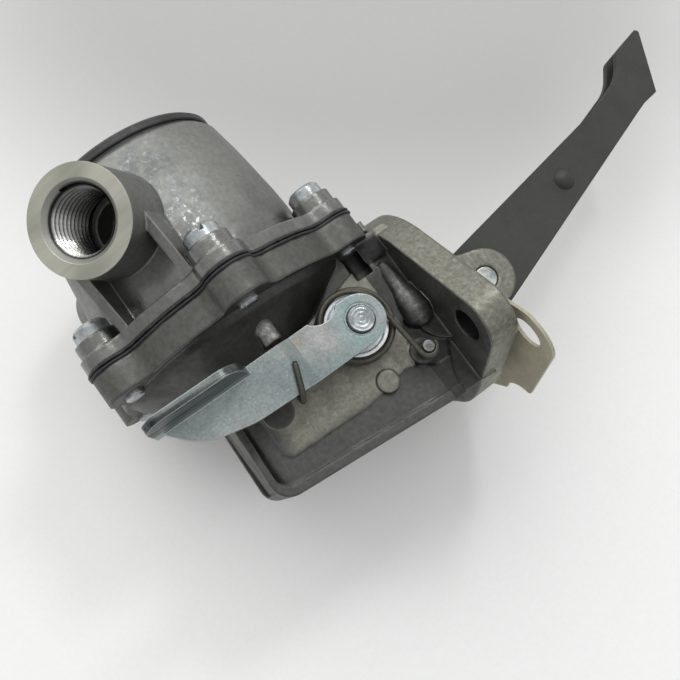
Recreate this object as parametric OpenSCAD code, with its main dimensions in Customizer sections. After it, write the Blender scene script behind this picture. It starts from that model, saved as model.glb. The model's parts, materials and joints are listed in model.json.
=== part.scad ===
// Mechanical diaphragm lift pump with a rocker arm and a hand priming lever.
// Origin: midway between the two mounting bolts, on the face that meets the engine.
// +X points into the engine along the rocker arm, +Z runs up the diaphragm axis to the cap,
// and the priming lever is on the -Y side.

/* [Body joint] */
// Distance from the mounting face back to the diaphragm axis
dia_x = 47.4; // [46:0.2:54]
// Height of the diaphragm joint above the mounting bolts
seat_z = 40; // [39:0.5:44]
// Radius of the clamping rim between its lobes
rim_r = 34.5; // [33.5:0.25:35.5]
// Radius of the screw circle
screw_r = 35.1; // [34.5:0.1:36]
// Number of body screws
screw_count = 6; // [6:1:6]
// Radius of each screw lobe
lobe_r = 6.2; // [5.8:0.1:6.8]
// Fillet where a lobe runs into the rim
lobe_fillet = 5; // [3:0.5:7]
// Thickness of the lower rim
lower_rim_t = 7; // [5:0.5:9]
// Thickness of the upper rim
upper_rim_t = 3.2; // [2.5:0.1:4]
// Height of the screw bosses above the joint
boss_h = 6.7; // [5:0.1:8]
// Radius of the screw bosses
boss_r = 5.4; // [5:0.1:5.8]
// Diameter of the body screws
screw_d = 5; // [4:0.5:5.5]
// Diameter of the screw heads
head_d = 8.8; // [8:0.1:10]
// Height of the screw heads
head_h = 3.5; // [3:0.25:5]
// Length of the screws past the lower rim
screw_proud = 1.4; // [0.5:0.1:3]

/* [Diaphragm] */
// Thickness of one ply of the diaphragm
ply_t = 0.75; // [0.5:0.05:1]
// How far the plies stand out from the rims
ply_proud = 0.5; // [0:0.1:1]
// Radius of the protector plates
plate_r = 17; // [14:0.5:18]
// Thickness of the protector plates
plate_t = 1; // [0.8:0.1:1.4]
// Radius of the pull rod
rod_r = 3; // [2.6:0.1:3.4]
// Radius of the neck that the link takes hold of
neck_r = 2.1; // [1.8:0.1:2.3]
// Radius of the button at the foot of the pull rod
button_r = 5.5; // [5:0.1:6]
// Working radius of the diaphragm chamber
chamber_r = 27.6; // [26:0.2:28.6]
// Height of the diaphragm chamber's floor above the bolts
floor_z = 25; // [24.5:0.25:26]
// Mean radius of the diaphragm spring
dia_spring_r = 12; // [11:0.25:13.5]
// Wire diameter of the diaphragm spring
dia_spring_wire = 1.6; // [1.2:0.1:1.8]
// Thickness of the diaphragm spring's seat
seat_cup_t = 0.8; // [0.6:0.1:1.2]

/* [Upper body] */
// Radius of the upper body at its foot
drum_foot_r = 29.4; // [29:0.1:29.6]
// Radius of the upper body under the cap
drum_top_r = 26; // [25.5:0.1:27]
// Height of the upper body's top face above the bolts
drum_top_z = 81; // [79:0.5:85]
// Height of the port axes above the bolts
port_z = 65.7; // [64.5:0.1:67]
// Angle of each port away from straight back
port_angle = 62; // [59:0.5:66]
// Distance from the diaphragm axis to a port's face
port_reach = 41.9; // [40:0.1:46]
// Outer radius of a port
port_r = 12.45; // [12:0.05:13]
// Minor radius of the port thread
port_bore_r = 6.19; // [5.8:0.01:6.6]
// Radius of the countersink at the mouth of a port
sink_r = 8.7; // [8:0.1:9.5]
// Depth of that countersink
sink_depth = 2; // [1.5:0.1:3]
// Thickness of the webs under a port
web_t = 2.4; // [2:0.1:3]

/* [Valves] */
// Radius of a valve pocket
pocket_r = 8; // [7.6:0.1:8.4]
// Distance from the diaphragm axis to each valve
valve_x = 12; // [11.5:0.25:13]
// Thickness of a valve seat
valve_seat_t = 2.5; // [2:0.1:3]
// Thickness of a valve disc
disc_t = 1.2; // [0.9:0.1:1.4]
// Radius of a valve disc
disc_r = 6.2; // [5.8:0.1:6.6]
// Length of a valve spring
valve_spring_h = 3.5; // [3.2:0.1:4]
// Wire diameter of a valve spring
valve_wire = 0.45; // [0.35:0.05:0.5]

/* [Cap and strainer] */
// Radius of the cap
cap_r = 25.5; // [25:0.1:26]
// Height of the cap's rim
cap_rim_h = 2.5; // [2:0.1:3.5]
// Height of the cap's crown above its rim
cap_crown_h = 2.4; // [1.5:0.1:4]
// Thickness of the cap gasket
cap_gasket_t = 0.9; // [0.6:0.1:1.4]
// Radius of the strainer chamber
strainer_r = 22.4; // [21.5:0.1:23]
// Depth of the strainer chamber
strainer_depth = 8; // [6:0.5:9]
// Diameter of the cap bolt
cap_bolt_d = 6; // [5:0.5:6]
// Thickness of the washer under the cap bolt
washer_t = 1; // [0.6:0.1:1.6]

/* [Lower body] */
// Half width of the rocker housing
house_hw = 17.4; // [17:0.1:18.5]
// Wall of the rocker housing
house_wall = 3.4; // [3:0.1:3.8]
// Distance from the mounting face to the back of the housing
house_back = 64.2; // [63.5:0.1:66]
// Depth of the housing below the bolts at its back
back_drop = 8.2; // [7.5:0.1:9]
// Depth of the housing below the bolts at the mounting flange
front_drop = 14.3; // [14:0.1:15.1]
// How far the side panels stand out from the housing
panel_h = 0.9; // [0.5:0.1:1.3]
// How far the foot lip stands out from the housing
lip_out = 1.2; // [0.8:0.1:1.8]
// Height of the foot lip
lip_h = 2.6; // [2:0.1:4]
// How far the lip stands below the housing
lip_drop = 0.5; // [0.3:0.1:1]
// Width of the lip where it runs up the back
lip_w = 1.7; // [1.2:0.1:2.5]
// Radius of the lip's corner at the back of the foot
lip_corner = 5.2; // [5:0.1:6]
// Distance from the mounting face back to the lip's front end
lip_front = 13.6; // [12:0.2:16]
// Depth of the recess behind each corner rib
recess_depth = 1.2; // [0.6:0.1:1.6]
// Depth of the relief beside the flange's foot
relief_depth = 1.9; // [1.5:0.1:2.1]
// Radius of the boss round the priming shaft
boss_shaft_r = 7.35; // [7.1:0.05:7.6]
// How far that boss stands out from the housing
boss_shaft_h = 3.4; // [3:0.1:3.6]
// Distance from the mounting face back to the spring anchor
anchor_x = 17; // [15.5:0.1:18]
// Height of the spring anchor above the bolts
anchor_z = 1.4; // [1:0.1:2]
// Radius of the spring anchor
anchor_r = 1.4; // [1.2:0.1:1.6]
// Distance from the mounting face back to the core plug
plug_x = 28.2; // [26:0.2:34]
// Height of the core plug above the bolts
plug_z = 0.4; // [0:0.2:1.5]
// Radius of the core plug
plug_r = 2.8; // [2.2:0.1:3.2]
// Radius of the weep lug under the bowl
weep_r = 2.2; // [1.8:0.1:2.6]
// Distance from the centre plane to the weep lug
weep_y = 25.5; // [24:0.1:26]
// Radius of the pull rod's seal
seal_r = 6.4; // [5.5:0.1:7]
// Height of the pull rod's seal
seal_h = 3.6; // [3:0.1:4.2]

/* [Mounting flange] */
// Thickness of the mounting flange
flange_t = 8; // [7:0.5:9]
// Distance between the two mounting bolts
bolt_pitch = 58; // [57:0.5:60]
// Diameter of the mounting bolt holes
bolt_d = 8.4; // [8:0.1:9]
// Radius of the lobe round each bolt hole
flange_lobe_r = 8.5; // [8.2:0.1:9.5]
// Radius of the flange's upper edge
flange_top_r = 27.2; // [26.8:0.1:27.8]
// Depth of the flange below the bolts
flange_drop = 15.1; // [14.9:0.1:16]
// Half width of the opening in the flange
mouth_hw = 13; // [12.8:0.1:13.2]
// Thickness of the gasket
gasket_t = 0.8; // [0.5:0.1:1.2]
// Radius of the gasket's upper edge
gasket_top_r = 26; // [25.5:0.1:26.5]

/* [Rocker arm] */
// Distance from the mounting face out to the rocker pin
pin_x = 8.9; // [8.5:0.1:9.5]
// Height of the rocker pin above the bolts
pin_z = 6.8; // [6.5:0.1:7.2]
// Radius of the rocker pin
pin_r = 3.2; // [2.8:0.1:3.4]
// Radius of the ears that carry the pin
ear_r = 7.7; // [7:0.1:8.2]
// Outer half width over the ears
ear_hw = 17.5; // [17.2:0.1:18]
// Outer half width of the arm at the pin
arm_hw = 11.5; // [11:0.1:11.6]
// Outer half width of the arm at its head
head_hw = 4.2; // [3.8:0.1:5]
// Sheet thickness of the arm
arm_t = 2; // [1.6:0.1:2.4]
// Distance from the mounting face out to the tip of the arm
arm_reach = 104.3; // [98:0.5:112]
// Distance from the mounting face out to the pressed studs
stud_x = 50; // [40:0.5:60]
// Radius of the pressed studs
stud_r = 3.6; // [3.2:0.1:4]
// Mean radius of the return spring
return_r = 3.6; // [3.2:0.1:3.8]
// Wire diameter of the return spring
return_wire = 1.1; // [0.9:0.1:1.3]

/* [Link] */
// Outer half width of the link
link_hw = 6.5; // [6:0.1:7]
// Depth of the link
link_h = 4.2; // [4:0.1:4.4]
// Height of the link's top above the bolts
link_top = 10.6; // [10.4:0.1:10.7]

/* [Priming lever] */
// Distance from the mounting face back to the priming shaft
shaft_x = 27.5; // [27:0.1:28]
// Height of the priming shaft above the bolts
shaft_z = 15.35; // [15.3:0.05:15.5]
// Radius of the priming shaft
shaft_r = 4.45; // [4:0.05:4.45]
// Radius of the shaft's riveted end
rivet_r = 3.1; // [2.8:0.1:3.3]
// Radius of the lever round the shaft
hub_r = 6; // [5.6:0.1:6.4]
// Radius of the shaft's collar behind the lever
collar_r = 5.2; // [4.9:0.1:5.4]
// Sheet thickness of the lever
lever_t = 2; // [1.6:0.1:2.2]
// Distance from the centre plane to the lever's outer face
lever_y = 28.6; // [28.4:0.1:30]
// Length of the lever from the shaft to its tip
lever_len = 52; // [46:0.5:56]
// Step of the lever outwards, clear of the housing
lever_jog = 1.5; // [1:0.1:2]
// Width of the thumb pad
pad_w = 9.4; // [7:0.1:12]
// Height of the thumb pad above the bolts
pad_z = 20.8; // [20:0.1:21.5]
// Slope of the thumb pad
pad_slope = 8.5; // [5:0.5:20]
// Wire diameter of the lever spring
wire_d = 1.4; // [1.2:0.1:1.5]
// Mean radius of the lever spring's coil
coil_r = 8.8; // [8.7:0.1:9.4]
// Rise of the lever spring per turn
coil_pitch = 2.2; // [2.1:0.05:2.3]
// Turns of the lever spring
coil_turns = 2; // [1:1:2]

/* [Hidden] */
$fn = 48;

// Clearances: cut takes a tool clear of a face, press is for a piece pressed into its bore,
// fit is a running fit, ease an assembly gap, and gap keeps pieces that move apart
cut = 1;
press = 0.01;
fit = 0.05;
ease = 0.15;
gap = 0.3;

// Levels of the body joint and of what it clamps
joint_t = 2 * (ply_t + fit);
lower_rim_z = seat_z - joint_t / 2;
lower_rim_foot = lower_rim_z - lower_rim_t;
upper_rim_z = seat_z + joint_t / 2;
boss_z = upper_rim_z + boss_h;
plate_top_z = seat_z + ply_t + fit + plate_t;
plate_low_z = seat_z - ply_t - fit - plate_t;
// The pull rod's spigot through the plates and plies
spigot_r = rod_r - 0.6;

// Levels in the upper body
valve_low_z = upper_rim_z + 4.2;
valve_high_z = valve_low_z + 10;
strainer_z = drum_top_z - strainer_depth;
pillar_r = cap_bolt_d / 2 + 2;
cap_z = drum_top_z + cap_gasket_t;
crown_z = cap_z + cap_rim_h + cap_crown_h;
// The cap's crown: its slope runs from crown_foot_r in to crown_r
crown_foot_r = 14;
crown_r = 9;
// The cap bolt: its thread below the cap's rim, and the tapped hole's depth
bolt_reach = 16;
bolt_hole = 20;
// The strainer: its rim, its gauze and the rings of openings in it
strainer_rim_h = 2.4;
gauze_z = 1;
gauze_t = 0.5;
mesh_r = 9;
mesh_pitch = 3;
mesh_hole_r = 1;
// Where a valve's stem is headed over, above the foot of its seat
stem_z = valve_seat_t + disc_t + valve_spring_h + 4 * fit;
stem_foot = 0.8;
stem_r = 1;
// Passages: the port threads end at port_in, the inlet's gallery rises at gallery_u
port_in = 17;
sink_foot_r = port_bore_r + 1.1;
gallery_u = 11;
gallery_r = 3.6;
outlet_r = 4.6;
// From the outlet valve to the inner end of the outlet port's thread, seen from above
outlet_way = port_in * dir2(180 - port_angle) - [-valve_x, 0];

// The lower body's cavity, its pocket for the return spring and its flange
cavity_top = 21;
return_x = 9.6;
pocket_z = -11;
bottom_slope = (front_drop - back_drop) / house_back;
flange_top_z = 10.7;
flange_foot_y = 8;
flange_foot_r = 9.2;
rib_x = flange_t + 3.7;
// The neck between rim and flange: half width, thickness and how far it runs in under the rim
tie_hw = 12;
tie_t = lower_rim_t - 2.5;
tie_in = 4;
weep_x = dia_x - 1;
weep_z = 22.6;
boss_y = house_hw + boss_shaft_h;
boss_far_h = 2.4;
// Where the loose gasket has slid to on the ears
gasket_place = [7.5, 0.6, -7.1];

// The arm's heel behind the mounting face, and where it narrows: from neck_x to head_x
heel_x = 14;
heel_z = 0.4;
neck_x = 15;
head_x = arm_reach - 19;
stud_z = 16.9;
stud_y = arm_hw - (arm_hw - head_hw) * (stud_x - neck_x) / (head_x - neck_x);
stud_h = stud_r - 1.6;
thrust_r = 6.4;

// The link and the rod's button under it
link_eye_r = 6;
link_mid = link_top - link_h / 2;
button_top = link_top - link_h - gap;

// Along the priming shaft: its two ends in the housing, its seal's groove and its clip
shaft_in = house_hw + 0.6;
cup_t = 1.8;
cup_r = coil_r - wire_d / 2 - gap;
shaft_out = boss_y + cup_t + 0.2;
groove_y = house_hw + 0.6;
groove_w = 1.2;
clip_y = house_hw - house_wall - 1.1;
clip_t = 0.8;

// Along the lever: its jog and its tip
jog_x = shaft_x + 16;
jog_run = 3.5;
tip_x = shaft_x + lever_len;

// The lever spring: its hook round the anchor, its lead and the plane of its outer end
hook_r = anchor_r + wire_d / 2 + 0.1;
lead_r = collar_r + wire_d + 0.1;
coil_out = lever_y - lever_t - 2.1;
to_anchor = [shaft_x - anchor_x, anchor_z - shaft_z];
lead_a = atan2(to_anchor.y, to_anchor.x) + 90 - asin((lead_r + hook_r) / norm(to_anchor));
// The lever's lower edge where the wire hooks over it, from the shaft
grip = [-21.3, -6];
grip_dir = unit([0.37, 0.93]);
grip_r = lever_t / 2 + wire_d / 2 + 0.1;
grip_y = lever_y + lever_jog - lever_t / 2;
// Radius of the wire's bends, whose straights stay clear of the washer inside
ring_r = coil_r / cos(180 / 8);
leave_a = atan2(grip.y, grip.x) - acos(ring_r / norm(grip)) + 360;
coil_steps = 8 * coil_turns + ceil((leave_a - lead_a) / 45);

// ---- Outline helpers

function dir2(a) = [cos(a), sin(a)];
function unit(v) = v / norm(v);

// Outline round a ring of circles [x, y, r], given anticlockwise
module belt(c) {
    n = len(c);
    polygon([for (i = [0:n - 1])
        let (p = c[i], q = c[(i + 1) % n], d = [q.x - p.x, q.y - p.y],
             a = atan2(d.y, d.x) - acos((p[2] - q[2]) / norm(d)))
        each [[p.x, p.y] + p[2] * dir2(a), [q.x, q.y] + q[2] * dir2(a)]]);
    for (p = c) translate([p.x, p.y]) circle(p[2]);
}

// Polygon with round corners, given anticlockwise as [x, y, corner radius]
module rounded(c) {
    n = len(c);
    corner = [for (i = [0:n - 1])
        let (b = [c[i].x, c[i].y], a = c[(i + n - 1) % n], d = c[(i + 1) % n],
             u = unit([a.x, a.y] - b), v = unit([d.x, d.y] - b),
             h = acos(u * v) / 2, r = c[i][2])
        [b + u * r / tan(h), b + v * r / tan(h), b + unit(u + v) * r / sin(h), r,
            cross(-u, v) > 0 ? 1 : -1]];
    // each arc stays inside its own corner, however large its circle is
    module arc(k, b) intersection() {
        mid = (k[0] + k[1]) / 2;
        polygon([k[0], b, k[1], mid + 0.1 * (k[2] - mid)]);
        translate(k[2]) circle(k[3]);
    }
    difference() {
        union() {
            polygon([for (i = [0:n - 1]) let (k = corner[i])
                each (k[3] > 0.05 ? [k[0], k[1]] : [[c[i].x, c[i].y]])]);
            for (i = [0:n - 1]) if (corner[i][4] > 0 && corner[i][3] > 0.05)
                arc(corner[i], [c[i].x, c[i].y]);
        }
        for (i = [0:n - 1]) if (corner[i][4] < 0 && corner[i][3] > 0.05)
            arc(corner[i], [c[i].x, c[i].y]);
    }
}

// Extrusions of a side view (x, z) and of an end view (y, z)
module side(y0, y1) translate([0, y1, 0]) rotate([90, 0, 0]) linear_extrude(y1 - y0) children();
module end(x0, x1) translate([x0, 0, 0]) rotate([90, 0, 90]) linear_extrude(x1 - x0) children();
// A child drawn along +Z, turned to lie along +Y from the point (x, y, z)
module along_y(x, y, z) translate([x, y, z]) rotate([-90, 0, 0]) children();
module at_axis() translate([-dia_x, 0, 0]) children();
module at_screws() for (i = [0:screw_count - 1])
    at_axis() rotate((i + 0.5) * 360 / screw_count) translate([screw_r, 0, 0]) children();

// Points along an arc, without its last one
function arc_points(c, r, a0, a1, n) = [for (k = [0:n - 1]) c + r * dir2(a0 + (a1 - a0) * k / n)];

// The lobed outline that the rims and the diaphragm share
module lobed(grow = 0) {
    r0 = rim_r + grow;
    rf = lobe_fillet - grow;
    reach = r0 + rf;
    step = 360 / screw_count;
    a = acos((reach * reach + screw_r * screw_r - pow(lobe_r + lobe_fillet, 2)) / (2 * screw_r * reach));
    turn = atan2(reach * sin(a), reach * cos(a) - screw_r);
    lobe = concat(
        arc_points(reach * dir2(-a), rf, 180 - a, 180 - turn, 6),
        arc_points([screw_r, 0], lobe_r + grow, -turn, turn, 18),
        arc_points(reach * dir2(a), rf, 180 + turn, 180 + a, 6),
        arc_points([0, 0], r0, a, step - a, 4));
    polygon([for (i = [0:screw_count - 1], p = lobe)
        let (t = (i + 0.5) * step) [p.x * cos(t) - p.y * sin(t), p.x * sin(t) + p.y * cos(t)]]);
}

// ---- Wound wire

// A tube along a list of points, with six sides and flat ends
module wire(path, d) {
    n = len(path);
    sides = 6;
    tangent = [for (i = [0:n - 1]) unit(path[min(i + 1, n - 1)] - path[max(i - 1, 0)])];
    function carry(i, v) = i >= n ? [] :
        let (t = tangent[i], w = unit(v - (v * t) * t)) concat([w], carry(i + 1, w));
    first = unit(cross(tangent[0], abs(tangent[0].z) < 0.8 ? [0, 0, 1] : [0, 1, 0]));
    normal = carry(0, first);
    points = [for (i = [0:n - 1]) for (k = [0:sides - 1])
        let (a = 360 * k / sides, b = cross(tangent[i], normal[i]))
        path[i] + d / 2 * (cos(a) * normal[i] + sin(a) * b)];
    last = (n - 1) * sides;
    faces = concat(
        [for (k = [1:sides - 2]) [0, k, k + 1]],
        [for (i = [0:n - 2]) for (k = [0:sides - 1])
            let (a = i * sides + k, b = i * sides + (k + 1) % sides)
            each [[a, a + sides, b], [b, a + sides, b + sides]]],
        [for (k = [1:sides - 2]) [last, last + k + 1, last + k]]);
    polyhedron(points, faces);
}

// A compression spring standing on z0 and ending at z1, its ends flattened to lie level
module coil_spring(r, d, z0, z1, turns) {
    rings = 8;
    n = turns * rings;
    foot = z0 + d / 2;
    rise = z1 - z0 - d;
    // the first and the last turn stay level, the rest climbs evenly
    function climb(t) = rise * min(1, max(0, (t - 0.75) / (turns - 1.5)));
    wire([for (i = [0:n]) let (t = i / rings)
        [r * cos(360 * t), r * sin(360 * t), foot + climb(t)]], d);
}

// ---- Lower body

bowl_profile = [[0, 17], [18, 18.5], [20.7, 21.8], [25.2, 25.8], [28.8, 28.6], [31.4, 30.4],
    [33, 33], [0, 33]];
// Swollen like a bottle, so that it is thickest a third of the way up
rib_profile = [[0, 5.8], [2.2, 6.4], [3.7, 8], [4.3, 10.4], [3.8, 13.6], [2.8, 17], [2.3, 22],
    [1.6, 24.6], [0, 25.5]];
// Height of the foot at a place along it
function bottom_z(x) = -front_drop - bottom_slope * x;

module housing_side() rounded([
    [-house_back, bottom_z(-house_back) + lip_drop, lip_corner - lip_out],
    [-flange_t / 2, bottom_z(-flange_t / 2) + lip_drop, 0.5],
    [-flange_t / 2, lower_rim_foot + 1, 0.5],
    [-house_back, lower_rim_foot + 1, 0.5]]);

module housing_plan() rounded([
    [-house_back, -house_hw, 4], [-flange_t / 2, -house_hw, 0.3],
    [-flange_t / 2, house_hw, 0.3], [-house_back, house_hw, 4]]);

// Side view of the lip: along the foot, round its back corner and up the back edge
module lip_side() difference() {
    back = -house_back - lip_out;
    inner = back + lip_w;
    top = 18;
    rounded([[back, bottom_z(back), lip_corner], [-lip_front, bottom_z(-lip_front), 1.2],
        [-lip_front, bottom_z(-lip_front) + lip_h + cut, 0.3], [back + 3, top, 0.3],
        [back + 1, top, 0.3]]);
    rounded([[inner, bottom_z(inner) + lip_h, lip_corner - lip_w], [0, bottom_z(0) + lip_h, 0.3],
        [0, top + cut, 0.3], [inner + 1, top + cut, 0.3]]);
}

// A side panel's front border, which sweeps up behind the corner rib, from its foot to its top
panel_front = [[-20.4, -0.4], [-17.1, 7.9], [-13.7, 16.1], [-13.1, 21.1], [-13.2, 26.7]];
panel_back = -house_back + 5.8;

module panel_side() polygon(concat(panel_front, [[-20, 26.7], [panel_back, 16]],
    arc_points([panel_back + 2.6, 1.6], 2.6, 180, 270, 4), [[-35.3, -1.6], [-29.3, -0.9], [-22.9, 0.5]]));

module housing_solid() {
    difference() {
        intersection() {
            side(-house_hw - cut, house_hw + cut) housing_side();
            translate([0, 0, -front_drop - cut]) linear_extrude(80) housing_plan();
        }
        // recess behind each corner rib, and the relief beside the flange's foot
        for (s = [0, 1]) mirror([0, s, 0]) {
            side(-house_hw - cut, -house_hw + recess_depth)
                polygon(concat([[-flange_t, 26.7], [-flange_t, -3.6], [-15.6, -3.2]], panel_front));
            side(-house_hw - cut, -house_hw + relief_depth)
                polygon([[-flange_t, 2], [-10.4, -2.6], [-12.7, -6.7], [-lip_front - 0.1, -10.5],
                    [-lip_front - 0.3, -front_drop - cut], [-flange_t, -front_drop - cut]]);
        }
    }
    for (s = [0, 1]) mirror([0, s, 0])
        side(-house_hw - lip_out, -house_hw + lip_w) lip_side();
    // the lip across the back of the foot
    side(-house_hw, house_hw) intersection() {
        lip_side();
        translate([-house_back - 5, -front_drop])
            square([10, front_drop + bottom_z(-house_back) + lip_h]);
    }
    for (s = [0, 1]) mirror([0, s, 0])
        side(-house_hw - panel_h, -house_hw + cut) panel_side();
}

module flange_outline() belt([
    [0, flange_top_z, flange_top_r], [-bolt_pitch / 2, 0, flange_lobe_r],
    [-flange_foot_y, flange_foot_r - flange_drop, flange_foot_r],
    [flange_foot_y, flange_foot_r - flange_drop, flange_foot_r],
    [bolt_pitch / 2, 0, flange_lobe_r]]);

module ear_side() belt([[-4, pin_z + 1.7, ear_r + 1.8], [pin_x, pin_z, ear_r]]);

module lower_body() color("#8d8d86") difference() {
    union() {
        at_axis() translate([0, 0, lower_rim_foot]) linear_extrude(lower_rim_t) lobed();
        at_axis() rotate_extrude($fn = 96) polygon(bowl_profile);
        housing_solid();
        end(-flange_t, 0) flange_outline();
        for (s = [0, 1]) mirror([0, s, 0])
            side(-ear_hw, -mouth_hw) ear_side();
        // neck that ties the rim to the flange
        translate([-dia_x + rim_r - tie_in, -tie_hw, lower_rim_foot + cut])
            cube([dia_x - rim_r - flange_t + tie_in + cut, 2 * tie_hw, tie_t]);
        // bosses for the priming shaft
        along_y(-shaft_x, -boss_y, shaft_z) cylinder(r = boss_shaft_r, h = boss_shaft_h + cut);
        along_y(-shaft_x, house_hw - cut, shaft_z) cylinder(r = boss_shaft_r - 0.5, h = boss_far_h + cut);
        // boss for the spring anchor
        along_y(-anchor_x, -house_hw - 2.2, anchor_z) cylinder(r = anchor_r + 1.7, h = 4);
        // ribs in the corner between the housing and the flange
        for (s = [-1, 1]) translate([-rib_x, s * (house_hw - 0.2), 0])
            rotate_extrude() polygon(rib_profile);
        // weep lug under the bowl
        translate([-weep_x, -weep_y, weep_z]) cylinder(r = weep_r, h = 9);
        translate([-weep_x - weep_r, -weep_y, weep_z]) cube([2 * weep_r, weep_y - house_hw, 9]);
        // cast roundel on the side panel
        along_y(-54, -house_hw - panel_h - 0.35, 9.5) cylinder(r = 3.9, h = 1);
    }
    // diaphragm chamber
    at_axis() rotate_extrude($fn = 96) polygon([
        [0, floor_z], [17.5, floor_z], [21, 28], [25, 31.5], [chamber_r, 36],
        [chamber_r, lower_rim_z + cut], [0, lower_rim_z + cut]]);
    // rocker cavity, with a floor that follows the foot
    difference() {
        side(-house_hw + house_wall, house_hw - house_wall) rounded([
            [-house_back + house_wall, bottom_z(-house_back) + house_wall, 2.5],
            [-flange_t - 1.4, bottom_z(-flange_t) + house_wall, 1],
            [-flange_t - 1.4, cavity_top, 1], [-house_back + house_wall, cavity_top, 3]]);
        at_axis() translate([0, 0, cavity_top - 3]) cylinder(r = rod_r + 3, h = 5);
    }
    // pocket for the arm's return spring
    translate([-return_x, 0, pocket_z]) cylinder(r = return_r + return_wire / 2 + gap + 0.2, h = 8);
    // mouth of the cavity through the flange
    end(-flange_t - 3, ear_r + pin_x + cut) rounded([
        [-mouth_hw, -7.5, 3], [mouth_hw, -7.5, 3], [mouth_hw, 20, 3], [-mouth_hw, 20, 3]]);
    // guide bore and seal pocket of the pull rod
    at_axis() translate([0, 0, 10]) cylinder(r = rod_r + fit, h = 20);
    at_axis() translate([0, 0, floor_z - 2.6]) cylinder(r = seal_r, h = seal_h);
    // tapped screw holes
    at_screws() translate([0, 0, lower_rim_foot - 8]) cylinder(d = screw_d + 2 * fit, h = 20);
    // bolt holes and pin bores
    for (s = [-1, 1]) translate([-flange_t - cut, s * bolt_pitch / 2, 0])
        rotate([0, 90, 0]) cylinder(d = bolt_d, h = flange_t + 2 * cut);
    along_y(pin_x, -ear_hw - cut, pin_z) cylinder(r = pin_r + press, h = 2 * ear_hw + 2 * cut);
    // priming shaft bores: through the near wall, blind in the far one
    along_y(-shaft_x, -boss_y - cut, shaft_z)
        cylinder(r = shaft_r + fit, h = boss_y + cut + shaft_in + gap);
    // anchor, plug and weep hole
    along_y(-anchor_x, -house_hw - 3, anchor_z) cylinder(r = anchor_r + press, h = 5.4);
    along_y(-plug_x, -house_hw - panel_h - cut, plug_z) cylinder(r = plug_r + press, h = 3.2);
    translate([-weep_x, -weep_y, weep_z - cut]) cylinder(r = 0.9, h = 4);
}

// ---- Upper body

// Places a child so that its +X runs out along a port; s = 1 is the near port
module at_port(s) at_axis() rotate(s * (180 + port_angle)) children();

module upper_body() color("#a3a29b") difference() {
    union() {
        at_axis() translate([0, 0, upper_rim_z]) linear_extrude(upper_rim_t) lobed();
        at_axis() rotate_extrude($fn = 96) polygon([[0, upper_rim_z + cut],
            [drum_foot_r, upper_rim_z + cut], [drum_foot_r, 52], [drum_foot_r - 0.35, 58],
            [drum_foot_r - 1.2, 66], [drum_foot_r - 1.9, 72], [drum_top_r + 0.2, drum_top_z - 1],
            [drum_top_r - 0.6, drum_top_z], [0, drum_top_z]]);
        at_screws() translate([0, 0, upper_rim_z]) cylinder(r = boss_r, h = boss_h);
        for (s = [-1, 1]) at_port(s) {
            translate([15, 0, port_z]) rotate([0, 90, 0]) cylinder(r = port_r, h = port_reach - 15);
            for (w = [-1, 1]) side(w * 10 - web_t / 2, w * 10 + web_t / 2)
                polygon([[15, upper_rim_z + 1], [33, upper_rim_z + 1], [33.2, upper_rim_z + 3.5],
                    [36.6, port_z - 5], [36.6, port_z], [15, port_z]]);
        }
    }
    // pump chamber
    at_axis() rotate_extrude() polygon([[0, upper_rim_z - cut], [chamber_r, upper_rim_z - cut],
        [chamber_r, upper_rim_z + 1.5], [chamber_r - 6, valve_low_z], [0, valve_low_z]]);
    // valve pockets and the passages above them
    at_axis() for (s = [-1, 1]) translate([s * valve_x, 0, 0]) {
        translate([0, 0, valve_low_z - cut]) cylinder(r = pocket_r, h = valve_high_z - valve_low_z + cut);
        translate([0, 0, valve_high_z - cut])
            cylinder(r = pocket_r - 1, h = (s > 0 ? strainer_z : port_z) - valve_high_z + 2 * cut);
    }
    // strainer chamber round a pillar for the cap bolt
    at_axis() translate([0, 0, strainer_z]) difference() {
        cylinder(r = strainer_r, h = strainer_depth + cut);
        translate([0, 0, -cut]) cylinder(r = pillar_r, h = strainer_depth - 1 + cut);
    }
    at_axis() translate([0, 0, drum_top_z - bolt_hole])
        cylinder(d = cap_bolt_d + 2 * fit, h = bolt_hole + cut);
    // ports, the near one rising to the strainer chamber
    for (s = [-1, 1]) at_port(s) {
        translate([port_in, 0, port_z]) rotate([0, 90, 0])
            cylinder(r = port_bore_r, h = port_reach - port_in + cut);
        // the countersink runs on past the face at its own slope
        translate([port_reach - sink_depth, 0, port_z]) rotate([0, 90, 0])
            cylinder(r1 = sink_foot_r, r2 = sink_r + (sink_r - sink_foot_r) / sink_depth * cut,
                h = sink_depth + cut);
    }
    // passage from the strainer chamber down to the inlet port
    at_port(1) translate([gallery_u, 0, port_z]) {
        translate([0, 0, -gallery_r - cut])
            cylinder(r = gallery_r, h = strainer_z - port_z + gallery_r + 2 * cut);
        rotate([0, 90, 0]) cylinder(r = gallery_r - 0.6, h = port_in - gallery_u + cut);
    }
    // passage from the outlet valve across to the outlet port
    at_axis() translate([-valve_x, 0, port_z]) rotate(atan2(outlet_way.y, outlet_way.x))
        rotate([0, 90, 0]) cylinder(r = outlet_r, h = norm(outlet_way) + cut);
    at_screws() translate([0, 0, upper_rim_z - cut]) cylinder(d = screw_d + 0.4, h = 20);
    // flats that clear the screw heads
    at_screws() translate([0, 0, boss_z]) cylinder(r = head_d / 2 + 0.6, h = 6);
}

// ---- Cap

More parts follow.
